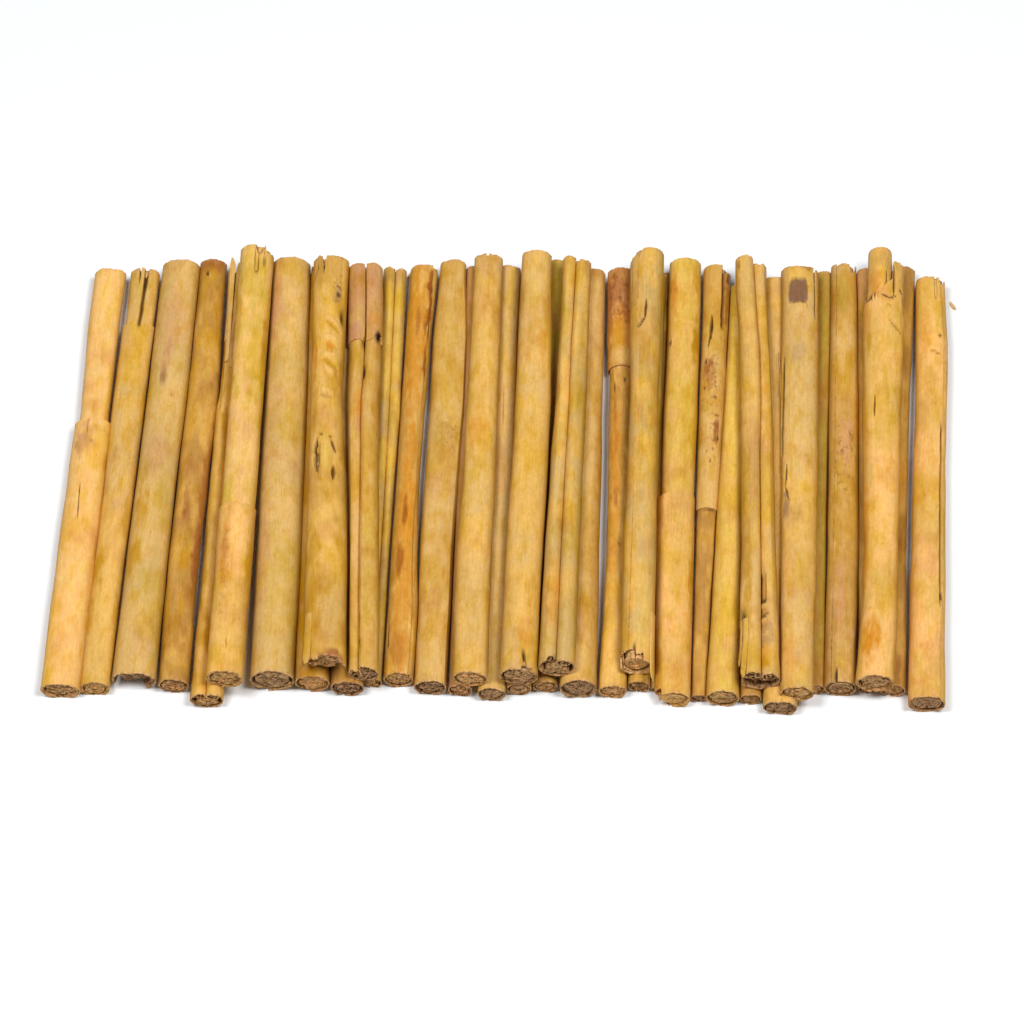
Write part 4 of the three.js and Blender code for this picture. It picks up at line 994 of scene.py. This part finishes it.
def core_part(quill, draw):
    """What packs the middle: a closed rod whose rough ends lie just inside the cut ends."""
    turn, rings = np.arange(0, 361, 15.0), len(CORE_RINGS)
    front, back = quill.ends[:, 1]
    reach, inward = np.array(CORE_RINGS).T
    reach = CORE_REACH * np.concatenate([reach, reach[::-1]])[:, None]
    y = np.concatenate([front + quill.inset + inward, back - inward[::-1]])[:, None]
    y[:rings] += CORE_INSET
    y[rings:] -= CORE_INSET
    rough = draw.uniform(-CORE_ROUGH, CORE_ROUGH, (2 * rings, len(turn) - 1))
    rough[[0, rings - 1, rings, -1]] = 0
    y = y + rough
    x, z, wide, high = quill.axis(y)
    section = on_circle(turn[:-1], reach)
    if quill.twin is not None:
        section = CORE_SLIM * section + on_circle(quill.twin + 180, CORE_SINK)
    points = np.stack([x + wide * section[..., 0], y, z + high * section[..., 1]], axis=-1)

    index = np.arange(y.size).reshape(y.shape)
    index[0], index[-1] = index[0, 0], index[-1, 0]
    used, index = np.unique(np.hstack([index, index[:, :1]]), return_inverse=True)
    index, points = index.reshape(2 * rings, -1), points.reshape(-1, 3)[used]
    disc = on_circle(turn, np.linspace(0, 1, rings)[:, None]) * CORE_UV_DISC
    near, far = (disc + [CORE_UV / 2, up] for up in CORE_UV_ENDS)
    faces = [
        grid_faces(index[1:rings], near[1:]),
        grid_faces(index[rings - 1 : rings + 1], laid(turn / 360 * CORE_UV, CORE_UV_SIDE)),
        grid_faces(index[rings:-1], far[:0:-1]),
        [block[:, :3] for block in grid_faces(index[:2], near[:2])],
        [block[:, [0, 1, 3]] for block in grid_faces(index[-2:], far[1::-1])],
    ]
    return Part(points, faces, CORE_UV + CORE_UV_GAP, TONES[quill.tones[0]] * quill.end_shade,
                points + quill.index * CORE_GRAIN)


FLAKE_POINT = 4.5  # a flake narrows to its tip over half of this at most
FLAKE_THICK, FLAKE_OFF = 0.18, 0.2  # its thickness, and how far it lies off the bark
FLAKE_GRID = (9, 18)  # its columns and rows


def flake_part(quill, degrees, root, tip, half_width, lift, tone):
    """A tongue of bark that has come loose, held at its root and raised at its tip."""
    columns, count = FLAKE_GRID
    turn = np.linspace(degrees - half_width, degrees + half_width, columns)
    start, stop = min(root, tip), max(root, tip)
    rows = np.linspace(start, stop, count)
    raised = lift * np.abs((rows - root) / (tip - root)) ** 1.6 + FLAKE_OFF
    away = np.abs(between(turn, degrees)) / half_width
    size = min(stop - start, FLAKE_POINT)
    point = size * (0.5 * away**1.5 + 0.14 * noise(turn / 4, 2.5, 8))
    blunt = 0.1 * size * noise(turn / 5, 4.5, 6)
    short = (blunt, point) if tip > root else (point, blunt)
    return sheet(quill, over(quill, turn), rows, FLAKE_THICK, short, raised[:, None],
                 (tone, quill.tones[0]), worn=FLAKE_WORN)


SLEEVE_SEAM, SLEEVE_GAP = 270, 4  # where a sleeve's edges lie, so far to each side of that
TWIN_GAP = 9  # and so far to each side of a groove
SLEEVE_PAST = 0.1  # how far it reaches past the bark's own cut end


def sleeve_part(quill, front, length, fine):
    """An outer layer over part of the quill."""
    sleeve = quill.sleeve
    seam, gap = (SLEEVE_SEAM, SLEEVE_GAP) if quill.twin is None else (quill.twin, TWIN_GAP)
    turn = spaced(seam + gap, seam + 360 - gap, fine, quill.places("turns"))
    rows = rows_between(front + sleeve.start * length, front + sleeve.stop * length,
                        quill.places("along"))
    short = [
        ragged_end(quill, end, turn, quill.torn) - SLEEVE_PAST if reaches_end
        else ragged_end(quill, end, turn, sleeve.torn)
        for end, reaches_end in (("front", sleeve.start == 0), ("back", sleeve.stop == 1))
    ]
    return sheet(quill, over(quill, turn), rows, sleeve.depth * 0.9, short, sleeve.depth,
                 sleeve.tones, marks=quill.marks, course=sleeve.course, worn=SLEEVE_WORN)


def quill_parts(quill):
    """Every sheet of one quill."""
    draw = np.random.default_rng(1000 + quill.index)
    front, back = quill.ends[:, 1]
    half = quill.ends[:, 2].mean() / 2
    thickness = SHEET * half
    fine = max(FINE, FINE_ARC / half)
    close = quill.places("turns")
    rows = rows_between(front, back, quill.places("along"))
    if quill.twin is None:
        curve = single_roll(quill.seam, draw.uniform(1.25, 1.6), fine, close)
        loose = 0.25 * noise(0.5, rows / 19, quill.index + 200)[:, None] ** 2
        lip = loose * np.clip(1 - (curve.turn - quill.seam) / 26, 0, 1) ** 2
    else:
        curve, lip = twin_roll(quill.twin, fine, close), 0.0
    frayed = FRAY * (1 - curve.free) * noise(np.arange(len(curve.turn)) / 1.7, 0.5, quill.index)
    short = [ragged_end(quill, end, curve.turn, quill.torn) + frayed for end in ("front", "back")]
    parts = [sheet(quill, curve, rows, thickness, short, lip, marks=quill.marks)]
    if quill.sleeve:
        parts.append(sleeve_part(quill, front, back - front, fine))
    parts += [flake_part(quill, *flake) for flake in quill.flakes]
    parts.append(core_part(quill, draw))
    return parts + inner_parts(quill, draw, thickness, half)


# --- crumbs

# Chips of bark lying by the quills: (x, y, half length, half width, turned by, tone).
CRUMBS = [(118.1, 57.3, 1.35, 0.42, 62, "khaki"), (-26.6, 64.6, 1.0, 0.35, 110, "peach")]
CRUMB_THICK = 0.28  # half of a chip's thickness
CRUMB_CURL = 0.35  # how far its ends rise
CRUMB_UV = 24  # a chip's faces lie in so many columns on the texture
CRUMB_GRAIN, CRUMB_WORN = 9.0, 0.15  # sets each chip's pattern apart, and how raw it looks


def crumb_part(number, x, y, length, width, spin, tone):
    """One chip: a curved, uneven flake lying on the floor."""
    shape = bmesh.new()
    bmesh.ops.create_icosphere(shape, subdivisions=3, radius=1)
    points = np.array([corner.co for corner in shape.verts])
    triangles = np.array([[corner.index for corner in face.verts] for face in shape.faces])
    shape.free()
    lumps = noise(points[:, 0] * 2 + 5, points[:, 1] * 2 + 5, number + 60)
    lumps = lumps + 0.6 * noise(points[:, 2] * 3 + 9, points[:, 0] * 3 + 9, number + 80)
    points = points * (0.7 + 0.4 * lumps[:, None]) * [length, width, CRUMB_THICK]
    points[:, 2] += CRUMB_CURL * (points[:, 0] / length) ** 2
    points[:, 2] += FLOOR_GAP - points[:, 2].min()
    points[:, :2] = spun(points[:, :2], -spin) + [x, y]

    cell = np.arange(len(triangles))[:, None]
    row = cell // CRUMB_UV + [0.1, 0.1, 0.9]
    places = np.stack([cell % CRUMB_UV + [0.1, 0.9, 0.1],
                       row / math.ceil(len(triangles) / CRUMB_UV)], axis=-1)
    return Part(points, [(triangles, places)], CRUMB_UV + 1.0, TONES[tone],
                points + CRUMB_GRAIN * number, cut=CRUMB_WORN)


# --- meshes


def mesh_of(name, parts, material):
    """One object from many parts, with its bark attributes and its texture layout."""
    starts = np.cumsum([0] + [len(part.points) for part in parts])
    lefts = np.cumsum([0] + [part.width for part in parts])
    corners, places, counts = [], [], []
    for part, start, left in zip(parts, starts, lefts):
        for block, layout in part.faces:
            corners.append((block + start).ravel())
            places.append(((layout + [left, 0]) / [lefts[-1], 1]).ravel())
            counts += [block.shape[1]] * len(block)
    corners = np.concatenate(corners).astype(np.int32)

    def gathered(field, *shape):
        return np.concatenate([np.broadcast_to(getattr(part, field), (len(part.points), *shape))
                               for part in parts])

    mesh = bpy.data.meshes.new(name)
    mesh.vertices.add(starts[-1])
    mesh.vertices.foreach_set("co", ((gathered("points", 3) + CENTRING) * MM).ravel())
    mesh.loops.add(len(corners))
    mesh.loops.foreach_set("vertex_index", corners)
    mesh.polygons.add(len(counts))
    mesh.polygons.foreach_set("loop_start", np.cumsum([0] + counts[:-1]))
    layer = mesh.uv_layers.new(name="OFBake")
    layer.uv.foreach_set("vector", np.concatenate(places))
    mesh.update(calc_edges=True)

    tone = np.hstack([gathered("tone", 3), np.ones((starts[-1], 1))])
    for field, kind, key, values in (
        ("tone", "FLOAT_COLOR", "color", tone),
        ("grain", "FLOAT_VECTOR", "vector", gathered("grain", 3)),
        ("cut", "FLOAT", "value", gathered("cut")),
        ("spots", "FLOAT", "value", gathered("spots")),
    ):
        mesh.attributes.new(field, kind, "POINT").data.foreach_set(key, values.ravel())
    mesh.shade_smooth()
    mesh.set_sharp_from_angle(angle=math.radians(48))
    mesh.materials.append(material)

    piece = bpy.data.objects.new(name, mesh)
    bpy.context.scene.collection.objects.link(piece)
    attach(piece, "root")
    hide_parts("cinnamon_sticks")


# --- materials


class Nodes:
    """Short ways to make and join a material's nodes."""

    def __init__(self, material):
        material.use_nodes = True
        self.tree = material.node_tree
        self.shader = self.tree.nodes["Principled BSDF"]

    def fill(self, node, inputs):
        for name, value in inputs.items():
            if isinstance(value, bpy.types.NodeSocket):
                self.tree.links.new(value, node.inputs[name])
            else:
                node.inputs[name].default_value = value

    def add(self, kind, inputs, output=0, **settings):
        node = self.tree.nodes.new(kind)
        for name, value in settings.items():
            setattr(node, name, value)
        self.fill(node, inputs)
        return node.outputs[output]

    def attribute(self, name, output):
        return self.add("ShaderNodeAttribute", {}, output, attribute_name=name)

    def noise(self, place, scale, detail, roughness=0.55):
        """Noise that is stretched by the three scales, in cells to the millimetre."""
        mapped = self.add("ShaderNodeMapping", {"Vector": place, "Scale": scale})
        inputs = {"Vector": mapped, "Scale": 1.0, "Detail": detail, "Roughness": roughness}
        return self.add("ShaderNodeTexNoise", inputs, "Fac")

    def ramp(self, value, low, high, to_low=0.0, to_high=1.0):
        inputs = {"Value": value, "From Min": low, "From Max": high, "To Min": to_low,
                  "To Max": to_high}
        return self.add("ShaderNodeMapRange", inputs, interpolation_type="SMOOTHSTEP")

    def maths(self, operation, first, second):
        return self.add("ShaderNodeMath", {0: first, 1: second}, operation=operation)

    def mix(self, factor, first, second, blend="MIX"):
        inputs = {0: factor, 6: first, 7: second}
        return self.add("ShaderNodeMix", inputs, 2, data_type="RGBA", blend_type=blend)


def rgba(tone):
    return (*TONES[tone], 1.0)


def bark_material():
    """Dry rolled bark: long fibres, soft mottling, small dark pores, and raw brown edges with painted
    shade in their pits.
    """
    material = bpy.data.materials.new("cinnamon_bark")
    nodes = Nodes(material)
    tone = nodes.attribute("tone", "Color")
    place = nodes.attribute("grain", "Vector")
    cut = nodes.attribute("cut", "Fac")
    spots = nodes.attribute("spots", "Fac")

    clouds = nodes.noise(place, (0.4, 0.2, 0.4), 4.0, 0.6)
    olives = nodes.noise(place, (0.55, 0.13, 0.55), 3.0, 0.6)
    grit = nodes.noise(place, (1.5, 0.8, 1.5), 4.0, 0.65)
    fibres = nodes.noise(place, (2.4, 0.15, 2.4), 3.0, 0.6)
    pores = nodes.noise(place, (2.1, 1.3, 2.1), 1.0)
    dots = nodes.noise(place, (0.9, 0.6, 0.9), 3.0)
    rough_cut = nodes.noise(place, (1.1, 1.1, 1.1), 3.0, 0.6)

    def tinted(colour, factor, tint):
        return nodes.mix(factor, colour, (*tint, 1.0), "MULTIPLY")

    def shaded(colour, shade):
        grey = nodes.add("ShaderNodeCombineColor", {0: shade, 1: shade, 2: shade})
        return nodes.mix(1.0, colour, grey, "MULTIPLY")

    bark = shaded(tone, nodes.ramp(fibres, 0.3, 0.7, 0.94, 1.05))
    bark = shaded(bark, nodes.ramp(grit, 0.3, 0.7, 0.93, 1.06))
    bark = tinted(bark, nodes.ramp(clouds, 0.46, 0.68), (0.93, 0.86, 0.6))
    bark = tinted(bark, nodes.ramp(olives, 0.5, 0.7), (0.92, 0.92, 0.56))
    bark = nodes.mix(nodes.ramp(pores, 0.7, 0.8, 0.0, 0.4), bark, rgba("russet"))
    blots = nodes.maths("MULTIPLY", nodes.ramp(dots, 0.5, 0.7, 0.0, 0.8), spots)
    bark = nodes.mix(blots, bark, rgba("chestnut"))
    # painted shade: the cut faces darken where their bump lies low, in their pits, over the raw tone
    raw = nodes.mix(nodes.ramp(rough_cut, 0.36, 0.6), rgba("crevice"), rgba("raw"))
    raw = nodes.mix(0.45, raw, tone)

    gloss = nodes.maths("MAXIMUM", nodes.ramp(clouds, 0.3, 0.7, 0.62, 0.5),
                        nodes.ramp(cut, 0.2, 0.9, 0.0, 0.9))
    height = nodes.maths("ADD", fibres, nodes.maths("MULTIPLY", grit, 0.6))
    height = nodes.maths("ADD", height, nodes.maths("MULTIPLY", rough_cut, cut))
    bump = nodes.add("ShaderNodeBump", {"Strength": 0.4, "Distance": 0.00016, "Height": height})
    nodes.fill(nodes.shader, {"Base Color": nodes.mix(cut, bark, raw), "Roughness": gloss,
                              "Specular IOR Level": 0.18, "Normal": bump})
    return material


# --- the bundle

PIECES = 11  # the quills are shared out over this many meshes, neighbours together


def build_quills():
    bark = bark_material()
    for share in np.array_split(np.arange(len(QUILLS)), PIECES):
        parts = [part for number in share for part in quill_parts(QUILLS[number])]
        mesh_of(f"quills_{share[0] + 1:02d}_{share[-1] + 1:02d}", parts, bark)
    mesh_of("crumbs", [crumb_part(number, *crumb) for number, crumb in enumerate(CRUMBS)], bark)


# --- camera and light

LOOK_AT = Vector((2.16, -8.66, 0.0)) * MM
ELEVATION, AZIMUTH = math.radians(59.0), math.radians(1.0)
DISTANCE = 1.24
SENSOR, FOCAL_SHARE = 36.0, 4786 / 1024  # focal length over the width of the picture
FLOOR_SIZE = 8.0


def place_at(name, data, place, target):
    """A camera or a lamp that looks at a point."""
    thing = bpy.data.objects.new(name, data)
    thing.location = place
    thing.rotation_euler = (target - place).to_track_quat("-Z", "Y").to_euler()
    bpy.context.scene.collection.objects.link(thing)
    return thing


def build_camera():
    data = bpy.data.cameras.new("camera")
    data.sensor_width = SENSOR
    data.lens = SENSOR * FOCAL_SHARE
    data.clip_start, data.clip_end = 0.05, 20.0
    level = math.cos(ELEVATION)
    away = Vector((level * math.sin(AZIMUTH), -level * math.cos(AZIMUTH), math.sin(ELEVATION)))
    bpy.context.scene.camera = place_at("camera", data, LOOK_AT + DISTANCE * away, LOOK_AT)


def area_light(name, place, size, watts):
    data = bpy.data.lights.new(name, "AREA")
    data.size, data.energy = size, watts
    place_at(name, data, Vector(place), Vector((0, 0, 0)))


def build_studio():
    scene = bpy.context.scene
    scene.view_settings.view_transform = "Standard"
    world = bpy.data.worlds.new("studio")
    world.use_nodes = True
    sky = world.node_tree.nodes["Background"].inputs
    sky["Color"].default_value = (1.0, 1.0, 1.0, 1.0)
    sky["Strength"].default_value = 0.12
    scene.world = world
    area_light("right_light", (0.4, -0.16, 1.1), 0.4, 8.35)
    area_light("left_light", (-0.4, -0.16, 1.1), 0.4, 7.5)

    bpy.ops.mesh.primitive_plane_add(size=FLOOR_SIZE, location=(0, 0, 0))
    floor = bpy.context.object
    floor.name = "floor"
    paper = bpy.data.materials.new("pale_floor")
    nodes = Nodes(paper)
    nodes.fill(nodes.shader, {"Base Color": (0.93, 0.96, 0.99, 1.0), "Roughness": 0.9})
    floor.data.materials.append(paper)


build_camera()
build_studio()
build_quills()
